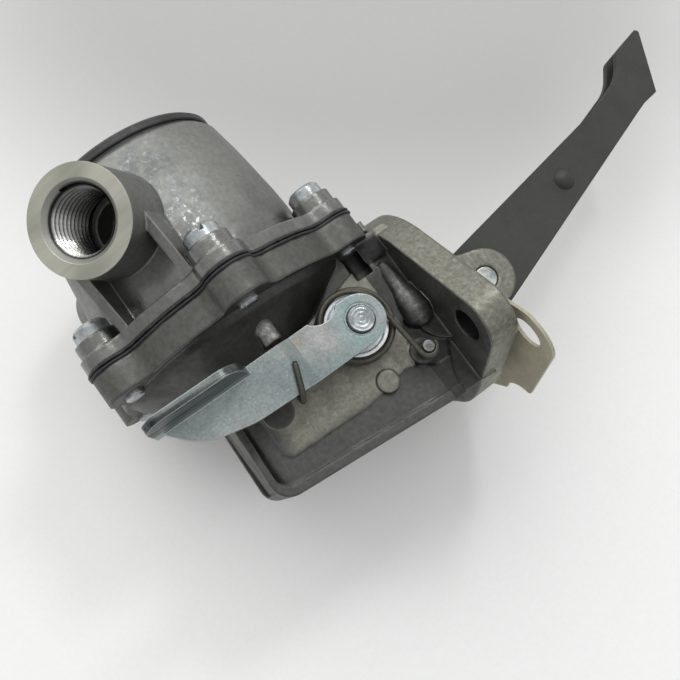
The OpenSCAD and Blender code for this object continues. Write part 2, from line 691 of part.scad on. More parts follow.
module top_cap() color("#2e2e2e") at_axis() difference() {
    rotate_extrude($fn = 96) polygon([[0, cap_z], [cap_r - 0.3, cap_z], [cap_r, cap_z + 0.3],
        [cap_r, cap_z + cap_rim_h - 0.8], [cap_r - 0.8, cap_z + cap_rim_h],
        [crown_foot_r, cap_z + cap_rim_h + cap_crown_h * 0.55], [crown_r, crown_z], [0, crown_z]]);
    translate([0, 0, cap_z - cut]) cylinder(r1 = crown_foot_r + 2, r2 = crown_r, h = cap_rim_h + cut);
    translate([0, 0, cap_z]) cylinder(d = cap_bolt_d + 0.6, h = crown_z - cap_z + cut);
}

module cap_bolt_washer() color("#b08d4f") at_axis() translate([0, 0, crown_z]) difference() {
    cylinder(r = cap_bolt_d, h = washer_t);
    translate([0, 0, -cut]) cylinder(d = cap_bolt_d + 0.4, h = washer_t + 2 * cut);
}

module cap_bolt() color("#b9bcbd") at_axis() translate([0, 0, crown_z + washer_t]) {
    intersection() {
        cylinder(d = cap_bolt_d * 1.92, h = cap_bolt_d * 0.67, $fn = 6);
        // the chamfer round the hexagon's top
        translate([0, 0, -cap_bolt_d])
            cylinder(r1 = cap_bolt_d * 1.9, r2 = cap_bolt_d * 0.78, h = cap_bolt_d * 1.7);
    }
    translate([0, 0, -bolt_reach - cap_crown_h])
        cylinder(d = cap_bolt_d, h = bolt_reach + cap_crown_h + cut);
}

module cap_gasket() color("#3a2f28") at_axis() translate([0, 0, drum_top_z]) difference() {
    cylinder(r = cap_r - 0.6, h = cap_gasket_t);
    translate([0, 0, -cut]) cylinder(r = strainer_r, h = cap_gasket_t + 2 * cut);
}

module strainer() color("#b7a46a") at_axis() translate([0, 0, strainer_z]) difference() {
    union() {
        difference() {
            cylinder(r = strainer_r - ease, h = strainer_rim_h);
            translate([0, 0, -cut]) cylinder(r = strainer_r - 2, h = strainer_rim_h + 2 * cut);
        }
        translate([0, 0, gauze_z]) cylinder(r = strainer_r - 1, h = gauze_t);
        cylinder(r = pillar_r + 2, h = gauze_z + gauze_t);
    }
    translate([0, 0, -cut]) cylinder(r = pillar_r + ease, h = gauze_z + gauze_t + 2 * cut);
    // gauze openings
    for (ring = [0:3], k = [0:11 + 4 * ring]) rotate(360 * k / (12 + 4 * ring))
        translate([mesh_r + mesh_pitch * ring, 0, 0])
            cylinder(r = mesh_hole_r, h = gauze_z + gauze_t + cut);
}

// ---- Valves: seat down, flow upwards, drawn from the seat's lower face

module valve_seat() difference() {
    cylinder(r = pocket_r - press, h = valve_seat_t);
    translate([0, 0, -cut]) cylinder(r = stem_r + fit, h = 5);
    for (k = [0:5]) rotate(60 * k) translate([4.2, 0, -cut]) cylinder(r = 1.4, h = 5);
}
module valve_disc() translate([0, 0, valve_seat_t + fit]) difference() {
    cylinder(r = disc_r, h = disc_t);
    translate([0, 0, -cut]) cylinder(r = stem_r + gap, h = 4);
}
module valve_spring()
    coil_spring(2.2, valve_wire, valve_seat_t + disc_t + 3 * fit, stem_z - fit, 4);
module valve_stem() {
    translate([0, 0, -stem_foot]) cylinder(r = 1.8, h = stem_foot);
    translate([0, 0, -stem_foot / 2]) cylinder(r = stem_r, h = stem_z + stem_foot);
    translate([0, 0, stem_z]) cylinder(r = 3, h = 0.8);
}
// The inlet valve hangs upside down under its passage, the outlet valve stands the right way up
module at_inlet() at_axis() translate([valve_x, 0, valve_high_z]) mirror([0, 0, 1]) children();
module at_outlet() at_axis() translate([-valve_x, 0, valve_low_z + stem_foot]) children();

module inlet_valve_seat() color("#b5a26b") at_inlet() valve_seat();
module inlet_valve_disc() color("#4a3b2f") at_inlet() valve_disc();
module inlet_valve_spring() color("#8f9194") at_inlet() valve_spring();
module inlet_valve_stem() color("#b5a26b") at_inlet() valve_stem();
module outlet_valve_seat() color("#b5a26b") at_outlet() valve_seat();
module outlet_valve_disc() color("#4a3b2f") at_outlet() valve_disc();
module outlet_valve_spring() color("#8f9194") at_outlet() valve_spring();
module outlet_valve_stem() color("#b5a26b") at_outlet() valve_stem();

// ---- Screws

module body_screws() color("#c3c7c9") at_screws() difference() {
    foot = lower_rim_foot - screw_proud;
    top = boss_z + head_h;
    rotate_extrude() polygon([[0, foot], [screw_d / 2 - 0.5, foot], [screw_d / 2, foot + 0.5],
        [screw_d / 2, boss_z], [head_d / 2, boss_z], [head_d / 2, top - 0.8],
        [head_d / 2 - 0.8, top], [0, top]]);
    // the driver slot
    translate([-head_d, -0.6, top - 1.6]) cube([2 * head_d, 1.2, 3]);
}

// ---- Diaphragm and its rod

module ply(z) at_axis() translate([0, 0, z]) linear_extrude(ply_t) difference() {
    lobed(ply_proud);
    for (i = [0:screw_count - 1]) rotate((i + 0.5) * 360 / screw_count)
        translate([screw_r, 0]) circle(d = screw_d + 0.6);
    circle(r = spigot_r + ease);
}

module diaphragm_upper_ply() color("#26262a") ply(seat_z + fit);
module diaphragm_lower_ply() color("#1f1f22") ply(seat_z - fit - ply_t);

// A dished plate, drawn with its rounded edge at the foot
module protector() difference() {
    rotate_extrude() polygon([[0, 0], [plate_r - 0.8, 0], [plate_r, 0.4], [plate_r, plate_t],
        [0, plate_t]]);
    translate([0, 0, -cut]) cylinder(r = spigot_r + press, h = plate_t + 2 * cut);
}
module upper_plate() color("#b9b9b4") at_axis()
    translate([0, 0, plate_top_z - plate_t]) protector();
module lower_plate() color("#b9b9b4") at_axis()
    translate([0, 0, plate_low_z + plate_t]) mirror([0, 0, 1]) protector();

module pull_rod() color("#9a9c9e") at_axis() rotate_extrude() polygon([
    [0, button_top - 3], [button_r - 0.6, button_top - 3], [button_r, button_top - 2.4],
    [button_r, button_top], [neck_r, button_top], [neck_r, link_top + gap], [rod_r, link_top + gap],
    [rod_r, plate_low_z], [spigot_r, plate_low_z], [spigot_r, plate_top_z],
    [3.6, plate_top_z], [3.6, plate_top_z + 1.2], [2.4, plate_top_z + 2], [0, plate_top_z + 2]]);

module diaphragm_spring() color("#7e8184") at_axis()
    coil_spring(dia_spring_r, dia_spring_wire, floor_z + seat_cup_t, plate_low_z, 4);

module spring_seat() color("#b9b9b4") at_axis() translate([0, 0, floor_z]) difference() {
    union() {
        cylinder(r = dia_spring_r + 2.4, h = seat_cup_t);
        // inside the spring, whose straights come nearer to the axis than its bends
        cylinder(r = dia_spring_r * cos(180 / 8) - dia_spring_wire / 2 - gap, h = 2);
    }
    translate([0, 0, -cut]) cylinder(r = rod_r + 0.6, h = 5);
    translate([0, 0, -cut]) cylinder(r = seal_r, h = 1.4 + cut);
}

module rod_seal() color("#1c1c1c") at_axis() translate([0, 0, floor_z - 2.6]) difference() {
    cylinder(r = seal_r - 0.02, h = seal_h);
    translate([0, 0, -cut]) cylinder(r = rod_r + 0.04, h = 6);
}

// ---- Rocker arm

// Side view of one cheek of the arm
module arm_side() rounded([
    [-heel_x, heel_z, 2], [10, -2.7, 9], [arm_reach - 13.3, 22.3, 1.2], [arm_reach - 8.7, 22.7, 0.9],
    [arm_reach, 41, 0.7], [arm_reach - 1, 42, 0.5], [arm_reach - 10.7, 39.6, 3.5],
    [arm_reach - 16.3, 33, 14], [arm_reach - 30.3, 28.6, 20], [-3, 15.1, 8], [-8, 12.6, 2],
    [-heel_x, 12.6, 2]]);
// What the channel leaves open above its web
module arm_channel() polygon([
    [-20, 3.4], [-heel_x, heel_z + arm_t * 1.1], [10, -2.7 + arm_t * 1.1],
    [arm_reach - 13.6, 22.3 + arm_t * 1.05],
    [arm_reach - 10.2, 22.7 + arm_t * 1.05], [arm_reach - 2.4, 44], [arm_reach - 2.4, 60], [-20, 60]]);
// Plan of the two cheeks, which draw together towards the head
function arm_plan(hw0, hw1) = [
    [-heel_x - cut, -hw0], [neck_x, -hw0], [head_x, -hw1], [arm_reach + cut, -hw1],
    [arm_reach + cut, hw1], [head_x, hw1], [neck_x, hw0], [-heel_x - cut, hw0]];

module rocker_arm() color("#5a5b55") difference() {
    union() {
        difference() {
            intersection() {
                side(-arm_hw - cut, arm_hw + cut) arm_side();
                translate([0, 0, -20]) linear_extrude(80) polygon(arm_plan(arm_hw, head_hw));
            }
            intersection() {
                side(-arm_hw, arm_hw) arm_channel();
                translate([0, 0, -20]) linear_extrude(80)
                    polygon(arm_plan(arm_hw - arm_t, head_hw - arm_t));
            }
        }
        // heel bar that bears on the link
        side(-arm_hw + arm_t / 2, arm_hw - arm_t / 2)
            translate([-heel_x, link_top + gap]) square([3, 1.7]);
        // pressed studs on the cheeks
        for (s = [-1, 1]) translate([stud_x, s * (stud_y + stud_h - stud_r), stud_z]) sphere(r = stud_r);
    }
    along_y(pin_x, -20, pin_z) cylinder(r = pin_r + fit, h = 40);
    for (s = [-1, 1]) translate([stud_x, s * (stud_y - 3.2), stud_z]) sphere(r = stud_r - 0.6);
}

module rocker_pin() color("#c9cccd") along_y(pin_x, -ear_hw + 0.2, pin_z)
    rotate_extrude() polygon([[0, 0], [pin_r - 0.4, 0], [pin_r, 0.4], [pin_r, 2 * ear_hw - 0.8],
        [pin_r - 0.4, 2 * ear_hw - 0.4], [0, 2 * ear_hw - 0.4]]);

module thrust_washers() color("#b3b5b6") for (s = [0, 1]) mirror([0, s, 0])
    along_y(pin_x, -mouth_hw + ease, pin_z) difference() {
        cylinder(r = thrust_r, h = mouth_hw - arm_hw - 2 * ease);
        translate([0, 0, -cut]) cylinder(r = pin_r + fit, h = mouth_hw - arm_hw + 2 * cut);
    }

module rocker_spring() color("#7e8184") translate([-return_x, 0, 0])
    coil_spring(return_r, return_wire, pocket_z + fit, -0.75, 5);

// ---- Link

module link_lever() color("#86888a") difference() {
    union() {
        along_y(pin_x, -arm_hw + arm_t + gap, pin_z)
            cylinder(r = link_eye_r, h = 2 * (arm_hw - arm_t - gap));
        side(-link_hw, link_hw) polygon([[pin_x, link_top - link_h], [pin_x, link_top + 1.2],
            [2, link_top], [-dia_x + 1, link_top], [-dia_x + 1, link_top - link_h]]);
        for (s = [0, 1]) mirror([0, s, 0])
            along_y(-dia_x, -link_hw, link_mid) cylinder(r = link_h / 2, h = link_hw - neck_r - gap);
    }
    along_y(pin_x, -20, pin_z) cylinder(r = pin_r + fit, h = 40);
    // channel under the web and slot for the rod's neck
    translate([-dia_x + 9, -link_hw + 1.6, link_top - link_h - cut])
        cube([dia_x - 9 - 2, 2 * link_hw - 3.2, link_h - 1.6 + cut]);
    translate([-dia_x - 10, -neck_r - gap, 0]) cube([10, 2 * (neck_r + gap), 20]);
    translate([-dia_x, 0, 0]) cylinder(r = neck_r + gap + 0.3, h = 20);
}

// ---- Priming shaft and lever

module priming_shaft() color("#b4b8ba") difference() {
    union() {
        along_y(-shaft_x, -lever_y + lever_t, shaft_z)
            cylinder(r = collar_r, h = lever_y - lever_t - shaft_out);
        along_y(-shaft_x, -shaft_out - cut / 2, shaft_z)
            cylinder(r = shaft_r, h = shaft_out + cut / 2 + shaft_in);
        along_y(-shaft_x, -lever_y - 0.8, shaft_z) cylinder(r = rivet_r, h = 4);
    }
    // the flat that lets the link swing, and the grooves for seal and clip
    translate([-shaft_x - 10, -9, shaft_z - 3.4 - 10]) cube([20, 18, 10]);
    along_y(-shaft_x, -groove_y - 1, shaft_z) groove(shaft_r - 1, groove_w);
    along_y(-shaft_x, clip_y - 0.1, shaft_z) groove(shaft_r - 0.9, clip_t + 0.2);
}
module groove(r, w) difference() {
    cylinder(r = shaft_r + 2, h = w);
    translate([0, 0, -cut]) cylinder(r = r, h = w + 2 * cut);
}

module shaft_oring() color("#141414") along_y(-shaft_x, -groove_y - 0.4, shaft_z)
    rotate_extrude() translate([shaft_r - 0.48, 0]) circle(r = 0.42);

module shaft_clip() color("#8c8e90") along_y(-shaft_x, clip_y, shaft_z) difference() {
    cylinder(r = shaft_r + 0.9, h = clip_t);
    translate([0, 0, -cut]) cylinder(r = shaft_r - 0.85, h = 3);
    translate([-1.9, 0, -cut]) cube([3.8, 10, 3]);
}

// The dished washer that holds the lever spring on its boss
module cup_washer() color("#c2cdd2") along_y(-shaft_x, -boss_y - cup_t - 2 * fit, shaft_z)
    difference() {
        cylinder(r = cup_r, h = cup_t);
        translate([0, 0, -cut]) cylinder(r1 = cup_r - 0.6, r2 = cup_r - 1.1, h = 1 + cut);
        translate([0, 0, -cut]) cylinder(r = shaft_r + 2 * fit, h = 5);
    }

module lever_outline() {
    translate([-shaft_x, shaft_z]) circle(hub_r);
    rounded([[-shaft_x, shaft_z + hub_r, 0], [-tip_x, pad_z, 1.5], [-tip_x + 7, 12.6, 12],
        [-tip_x + 19, 9.7, 20], [-jog_x - 1, 9.2, 20], [-shaft_x, shaft_z - hub_r, 0]]);
}
// Plan of the lever, stepped outwards at the jog
function lever_plan() = let (y = -lever_y, j = lever_jog) [
    [0, y], [0, y + lever_t], [-jog_x, y + lever_t], [-jog_x - jog_run, y + lever_t - j],
    [-tip_x - cut, y + lever_t - j], [-tip_x - cut, y - j], [-jog_x - jog_run, y - j], [-jog_x, y]];

module priming_lever() color("#c3ccd1") difference() {
    union() {
        intersection() {
            side(-lever_y - lever_jog - cut, -lever_y + lever_t + cut) lever_outline();
            linear_extrude(40) polygon(lever_plan());
        }
        // thumb pad folded outwards along the upper edge
        translate([0, -lever_y - lever_jog + lever_t, pad_z]) rotate([-pad_slope, 0, 0])
            translate([0, 0, -lever_t]) linear_extrude(lever_t) rounded([
                [-tip_x - 1.6, -pad_w + 1, 2.5], [-tip_x + 1, -pad_w - lever_t, 3],
                [-tip_x + 21, -pad_w - lever_t, 6], [-tip_x + 24.5, 0, 0.5], [-tip_x, 0, 0.5]]);
    }
    along_y(-shaft_x, -lever_y - 2, shaft_z) cylinder(r = rivet_r + 0.01, h = 5);
    along_y(-shaft_x, -lever_y - 2, shaft_z) difference() {
        cylinder(r = rivet_r + 0.9, h = 2.2);
        translate([0, 0, -cut]) cylinder(r = rivet_r + 0.3, h = 5);
    }
}

// ---- Lever spring: hooked round its anchor, two turns round the shaft, and a leg that runs
// behind the lever and hooks over its lower edge

function spring_r(a) = lead_r + (ring_r - lead_r) * min(1, (a - lead_a) / 110);
function spring_y(a) = -coil_out + coil_pitch * (a - lead_a) / 360;
function off_shaft(v, y) = [v.x - shaft_x, y, v.y + shaft_z];
spring_path = let (last_a = leave_a + 360 * coil_turns, in_y = spring_y(last_a)) concat(
    [for (k = [-1:4]) off_shaft(to_anchor + hook_r * dir2(lead_a + 360 - 45 * max(k, 0))
        + (k < 0 ? wire_d * dir2(lead_a + 90) : [0, 0]), -coil_out + 0.2)],
    [for (k = [0:coil_steps]) let (a = lead_a + (last_a - lead_a) * k / coil_steps)
        off_shaft(spring_r(a) * dir2(a), spring_y(a))],
    [off_shaft(ring_r * dir2(last_a) + 6 * dir2(last_a + 90), in_y)],
    [for (t = [0:45:180])
        off_shaft(grip - grip_r * sin(t) * grip_dir, -grip_y + grip_r * cos(t))],
    [for (l = [2, 7]) off_shaft(grip + l * grip_dir, -grip_y - grip_r)]);

// Least distance between stretches of the wire that lie over three diameters apart along it
function finer(p, m) = [for (i = [0:len(p) - 2]) for (k = [0:m - 1]) p[i] + (p[i + 1] - p[i]) * k / m];
function runs(p) = [for (i = 0, l = 0; i < len(p);
    l = l + (i + 1 < len(p) ? norm(p[i + 1] - p[i]) : 0), i = i + 1) l];
function self_gap(p, d) = let (q = finer(p, 4), l = runs(q))
    min([for (i = [0:len(q) - 1]) for (j = [i + 1:1:len(q) - 1])
        if (l[j] - l[i] > 3 * d) norm(q[i] - q[j])]) - d;

echo(lever_spring_gap = self_gap(spring_path, wire_d));

module priming_spring() color("#77776c") wire(spring_path, wire_d);

module spring_anchor() color("#9b9d96") along_y(-anchor_x, -coil_out - wire_d / 2, anchor_z)
    cylinder(r = anchor_r, h = coil_out + wire_d / 2 - house_hw + 2.4);

module core_plug() color("#a5a69f") along_y(-plug_x, -house_hw - panel_h - 0.4, plug_z)
    cylinder(r = plug_r, h = 2.4);

// ---- Mounting gasket, hanging loose on the ears

module gasket_outline() difference() {
    belt([[0, flange_top_z - 0.3, gasket_top_r], [-bolt_pitch / 2, 0, flange_lobe_r],
        [0, -17.6, 0.4], [bolt_pitch / 2, 0, flange_lobe_r]]);
    // a bite out of the lower edge, the window for the ears and the bolt holes
    translate([7.2, -20.2]) circle(r = 6.6);
    rounded([[-ear_hw - 0.5, -0.5, 3], [ear_hw + 2, -0.5, 3], [ear_hw + 2, 24.8, 3],
        [-ear_hw - 0.5, 24.8, 3]]);
    for (s = [-1, 1]) translate([s * bolt_pitch / 2, 0]) circle(d = bolt_d + 0.2);
}

module mounting_gasket() color("#c9c3ae") translate(gasket_place) rotate([5.4, -1.5, -8])
    end(0, gasket_t) gasket_outline();

lower_body();
upper_body();
top_cap();
cap_bolt();
cap_bolt_washer();
cap_gasket();
strainer();
inlet_valve_seat();
inlet_valve_disc();
inlet_valve_spring();
inlet_valve_stem();
outlet_valve_seat();
outlet_valve_disc();
outlet_valve_spring();
outlet_valve_stem();
body_screws();
diaphragm_upper_ply();
diaphragm_lower_ply();
upper_plate();
lower_plate();
pull_rod();
diaphragm_spring();
spring_seat();
rod_seal();
rocker_arm();
rocker_pin();
thrust_washers();
rocker_spring();
link_lever();
priming_shaft();
shaft_oring();
shaft_clip();
cup_washer();
priming_lever();
priming_spring();
spring_anchor();
core_plug();
mounting_gasket();
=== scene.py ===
# Looks for the diaphragm lift pump: a surface for every CAD node, and the forms that the solids leave out.
# Those are the ports' bores and threads, the hollow in the priming lever, the gasket's curl, the plies' wavy
# edges, the lever's spring and copies of the inner springs. Then come the floor, the light and the photo's
# camera.
import json
import math
import random

import bmesh
import bpy
from mathutils import Matrix, Vector


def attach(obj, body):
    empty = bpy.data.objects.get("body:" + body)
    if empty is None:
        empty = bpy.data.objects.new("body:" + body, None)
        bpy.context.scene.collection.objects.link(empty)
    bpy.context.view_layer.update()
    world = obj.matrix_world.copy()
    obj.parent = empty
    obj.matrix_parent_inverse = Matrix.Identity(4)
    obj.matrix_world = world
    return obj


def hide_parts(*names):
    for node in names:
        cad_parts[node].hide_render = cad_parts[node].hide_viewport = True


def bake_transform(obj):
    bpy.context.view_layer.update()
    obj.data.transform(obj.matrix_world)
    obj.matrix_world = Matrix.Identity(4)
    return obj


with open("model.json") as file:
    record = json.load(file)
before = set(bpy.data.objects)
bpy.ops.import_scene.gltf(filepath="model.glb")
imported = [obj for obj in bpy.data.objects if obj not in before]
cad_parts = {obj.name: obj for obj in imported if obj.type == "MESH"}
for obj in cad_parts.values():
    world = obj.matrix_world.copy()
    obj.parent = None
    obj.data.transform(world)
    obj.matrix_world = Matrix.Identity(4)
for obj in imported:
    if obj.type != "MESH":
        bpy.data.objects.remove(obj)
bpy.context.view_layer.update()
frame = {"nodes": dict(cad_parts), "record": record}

MM = 0.001

# ---- Sizes and places in millimetres, as in the part's source where it has them

# The drum's axis, the joint between the plies, and the rims' lobed outline
DIA_X = -47.4
SEAT_Z = 40.0
RIM_R = 34.5
SCREW_R = 35.1
LOBE_R = 6.2
LOBE_FILLET = 5.0

# The ports: where they stand, then their thread's roots and crests, the countersink, and the thread's
# pitch and its ends from the drum's axis
PORT_Z = 65.7
PORT_ANGLE = math.radians(62)
PORT_REACH = 41.9
PORT_MAJOR_R = 8.0
PORT_MINOR_R = 7.2
PORT_SINK_R = 9.15
THREAD_PITCH = 1.5
THREAD_START = 24.0
THREAD_END = 40.9

# The housing: the flange's back, the bolt holes, the side panels' face, the core plug and the weep lug
FLANGE_X = -8.0
BOLT_Y = 29.0
BOLT_R = 4.2
PANEL_Y = 18.3
PLUG = (-28.2, -18.7, 0.4)
WEEP_LUG = (-46.6, -27.5, 22.6)

# The priming shaft's axis (x and z), the lever's outer face and sheet, and the anchor of its spring (x and z)
SHAFT = (-27.5, 15.35)
LEVER_Y = 28.6
LEVER_T = 2.0
LEVER_JOG = 1.5
ANCHOR = (-17.0, 1.4)

# The photo's camera: its eye, and its directions in the part's frame
EYE = Vector((-79.922, -200.965, -1.192)) * MM
RIGHT = Vector((0.79153, -0.15618, -0.59084))
UP = Vector((0.55583, -0.21790, 0.80223))
FORWARD = Vector((0.25403, 0.96339, 0.08567))

NEAR, FAR = -1, 1


def port_axis(side):
    """Direction out of the near or the far port."""
    return Vector((-math.cos(PORT_ANGLE), side * math.sin(PORT_ANGLE), 0))


def port_point(side, u):
    """The point of a port's axis at u from the drum's axis."""
    return Vector((DIA_X, 0, PORT_Z)) + u * port_axis(side)


# ---- Shader graphs

class Graph:
    """A material's node graph, with short calls for the nodes it uses."""

    def __init__(self, name):
        self.material = bpy.data.materials.new(name)
        self.material.use_nodes = True
        self.tree = self.material.node_tree
        self.tree.nodes.clear()
        self.output = self.node("ShaderNodeOutputMaterial")
        self.place = self.node("ShaderNodeTexCoord").outputs["Object"]
        self.x, self.y, self.z = self.split(self.place)
        geometry = self.node("ShaderNodeNewGeometry")
        self.normal = geometry.outputs["Normal"]
        self.backfacing = geometry.outputs["Backfacing"]

    def node(self, kind, **values):
        n = self.tree.nodes.new(kind)
        for key, value in values.items():
            setattr(n, key, value)
        return n

    def feed(self, socket, value):
        if isinstance(value, bpy.types.NodeSocket):
            self.tree.links.new(value, socket)
        else:
            socket.default_value = value

    def math(self, operation, a, b=0.0):
        n = self.node("ShaderNodeMath", operation=operation)
        self.feed(n.inputs[0], a)
        self.feed(n.inputs[1], b)
        return n.outputs[0]

    def times(self, a, b):
        return self.math("MULTIPLY", a, b)

    def either(self, a, b):
        return self.math("MAXIMUM", a, b)

    def vector(self, operation, a, b=(0, 0, 0), out="Vector"):
        n = self.node("ShaderNodeVectorMath", operation=operation)
        self.feed(n.inputs[0], a)
        self.feed(n.inputs[1], b)
        return n.outputs[out]

    def dot(self, a, b):
        return self.vector("DOT_PRODUCT", a, b, "Value")

    def distance(self, a, b):
        return self.vector("DISTANCE", a, b, "Value")

    def length(self, a):
        return self.vector("LENGTH", a, out="Value")

    def split(self, vector):
        n = self.node("ShaderNodeSeparateXYZ")
        self.feed(n.inputs[0], vector)
        return n.outputs

    def ramp(self, value, low, high, to_low=0.0, to_high=1.0):
        """value from low..high to to_low..to_high, smoothly and clamped."""
        n = self.node("ShaderNodeMapRange", interpolation_type="SMOOTHSTEP")
        for i, v in enumerate((value, low, high, to_low, to_high)):
            self.feed(n.inputs[i], v)
        return n.outputs[0]

    def past(self, value, start, full, to_start=0.0, to_full=1.0):
        """ramp, with start and full in mm. They may run downwards."""
        return self.ramp(value, MM * start, MM * full, to_start, to_full)

    def between(self, value, low, high, soft):
        """1 from low to high (in mm), 0 outside, with soft ends."""
        above = self.past(value, low - soft, low + soft)
        return self.times(above, self.past(value, high - soft, high + soft, 1, 0))

    def within(self, centre, radius, soft):
        """1 inside a ball round centre (in mm), 0 outside, with a soft rim."""
        away = self.distance(self.place, tuple(MM * c for c in centre))
        return self.past(away, radius - soft, radius + soft, 1, 0)

    def from_shaft(self):
        """Distance from the priming shaft's axis."""
        flat = self.vector("MULTIPLY", self.place, (1, 0, 1))
        return self.distance(flat, (SHAFT[0] * MM, 0, SHAFT[1] * MM))

    def from_port(self, side):
        """The vector from the middle of a port's face, its part along the axis, and its turn round it."""
        axis = tuple(port_axis(side))
        away = self.vector("SUBTRACT", self.place, tuple(MM * port_point(side, PORT_REACH)))
        return away, self.dot(away, axis), self.vector("CROSS_PRODUCT", away, axis)

    def noise(self, scale, detail=3.0, rough=0.55, distortion=0.0, place=None):
        n = self.node("ShaderNodeTexNoise")
        self.feed(n.inputs["Vector"], place or self.place)
        n.inputs["Scale"].default_value = scale
        n.inputs["Detail"].default_value = detail
        n.inputs["Roughness"].default_value = rough
        n.inputs["Distortion"].default_value = distortion
        return n.outputs["Fac"]

    def vary(self, scale, detail, low, high, **noise):
        """Noise that runs from low to high."""
        return self.ramp(self.noise(scale, detail, **noise), 0.3, 0.7, low, high)

    def stretched(self, *factors):
        """The place, stretched along x, y and z."""
        return self.vector("MULTIPLY", self.place, factors)

    def mix(self, factor, a, b):
        """Colour a where factor is 0, b where it is 1."""
        n = self.node("ShaderNodeMix", data_type="RGBA")
        self.feed(n.inputs[0], factor)
        for socket, value in ((n.inputs[6], a), (n.inputs[7], b)):
            self.feed(socket, value if isinstance(value, bpy.types.NodeSocket) else (*value, 1))
        return n.outputs[2]

    def mix_vector(self, factor, a, b):
        n = self.node("ShaderNodeMix", data_type="VECTOR")
        for i, v in ((0, factor), (4, a), (5, b)):
            self.feed(n.inputs[i], v)
        return n.outputs[1]

    def scale_colour(self, colour, factor):
        n = self.node("ShaderNodeCombineXYZ")
        for i in range(3):
            self.feed(n.inputs[i], factor)
        return self.vector("MULTIPLY", colour, n.outputs[0])

    def grain(self, colour, scale, detail, low, high):
        """The colour made lighter and darker by noise, from low to high times."""
        return self.scale_colour(colour, self.vary(scale, detail, low, high))

    def bevel(self, radius, samples=6):
        n = self.node("ShaderNodeBevel", samples=samples)
        n.inputs["Radius"].default_value = radius * MM
        return n.outputs[0]

    def edges(self, radius):
        """1 on worn outer edges, by how far a rounded normal leans from the true one."""
        lean = self.dot(self.bevel(radius), self.normal)
        return self.ramp(lean, 0.99, 0.75)

    def bump(self, height, depth, under=None):
        n = self.node("ShaderNodeBump")
        n.inputs["Strength"].default_value = 1
        n.inputs["Distance"].default_value = depth * MM
        self.feed(n.inputs["Height"], height)
        if under is not None:
            self.feed(n.inputs["Normal"], under)
        return n.outputs[0]

    def principled(self, colour, **inputs):
        p = self.node("ShaderNodeBsdfPrincipled")
        self.feed(p.inputs["Base Color"], colour)
        for name, value in inputs.items():
            self.feed(p.inputs[name.replace("_", " ")], value)
        return p.outputs[0]

    def finish(self, colour, metallic, roughness, normal, **more):
        """The finished material."""
        surface = self.principled(colour, Metallic=metallic, Roughness=roughness, Normal=normal, **more)
        self.feed(self.output.inputs["Surface"], surface)
        return self.material


# ---- Materials

def metal(name, light, dark, rough=0.4, grain=900, depth=0.05, metallic=0.9, blotch=60, spread=0.16):
    """A plain metal surface: blotches between two tones, fine grain and slightly brighter edges."""
    wear, wear_gain, round_r = 0.35, 1.7, 0.35
    g = Graph(name)
    colour = g.mix(g.ramp(g.noise(blotch, 5, 0.6), 0.36, 0.64), dark, light)
    colour = g.grain(colour, grain, 2, 1 - spread, 1 + spread)
    worn = tuple(min(1, wear_gain * c) for c in light)
    colour = g.mix(g.times(g.edges(round_r * 2), wear), colour, worn)
    gloss = g.vary(blotch * 3, 4, rough - 0.07, rough + 0.09)
    return g.finish(colour, metallic, gloss, g.bump(g.noise(grain, 3, 0.6), depth, g.bevel(round_r)))


# The lower casting's tints. out is the distance from the part's middle plane.

def tint_panels(g, colour, out):
    """The side panels, whose warm tone fades out before their borders, and the core plug."""
    panel = g.times(g.between(out, PANEL_Y - 0.4, PANEL_Y + 0.15, 0.12), g.between(g.x, -56, -9, 2.5))
    panel = g.times(panel, g.between(g.z, -1.5, 26.5, 3.5))
    panel = g.either(panel, g.within(PLUG, 3.0, 0.15))
    sparkle = g.ramp(g.noise(1100, 3, 0.6), 0.35, 0.75)
    return g.mix(panel, colour, g.mix(sparkle, (0.190, 0.188, 0.158), (0.25, 0.247, 0.208)))


def tint_flange(g, colour, out):
    """The flange's edge, front and ears, with fine flecks, and painted shade behind it and in its bolt holes.
    """
    flange = g.past(g.x, FLANGE_X + 0.1, FLANGE_X + 0.4)
    flecks = g.ramp(g.noise(900, 4, 0.75), 0.35, 0.8)
    colour = g.mix(flange, colour, g.mix(flecks, (0.165, 0.164, 0.137), (0.28, 0.278, 0.238)))
    # painted shade in the corners behind the flange, darkest on the neck and in the middle beside it
    shade_end = FLANGE_X + 0.07
    corner = g.times(g.between(g.x, -17.2, shade_end, 0.07), g.past(out, 15, 16))
    neck = g.times(g.between(g.x, -19, shade_end, 0.07), g.between(g.z, 26, 31.6, 0.4))
    middle = g.times(g.past(out, 15, 14), g.past(g.z, 25, 27))
    neck = g.either(neck, g.times(g.between(g.x, -14, shade_end, 0.07), middle))
    corner = g.times(g.past(g.z, 27, 24), corner)
    colour = g.mix(g.either(corner, neck), colour, (0.06, 0.06, 0.058))
    colour = g.mix(neck, colour, (0.022, 0.022, 0.022))
    # the flange's back, and painted shade in its bolt holes
    back = g.between(g.x, FLANGE_X - 0.06, shade_end, 0.03)
    colour = g.mix(back, colour, (0.15, 0.15, 0.147))
    for side in (NEAR, FAR):
        across = g.distance(g.stretched(0, 1, 1), (0, side * BOLT_Y * MM, 0))
        colour = g.mix(g.past(across, BOLT_R + 0.1, BOLT_R + 0.05), colour, (0.03, 0.03, 0.03))
    return colour


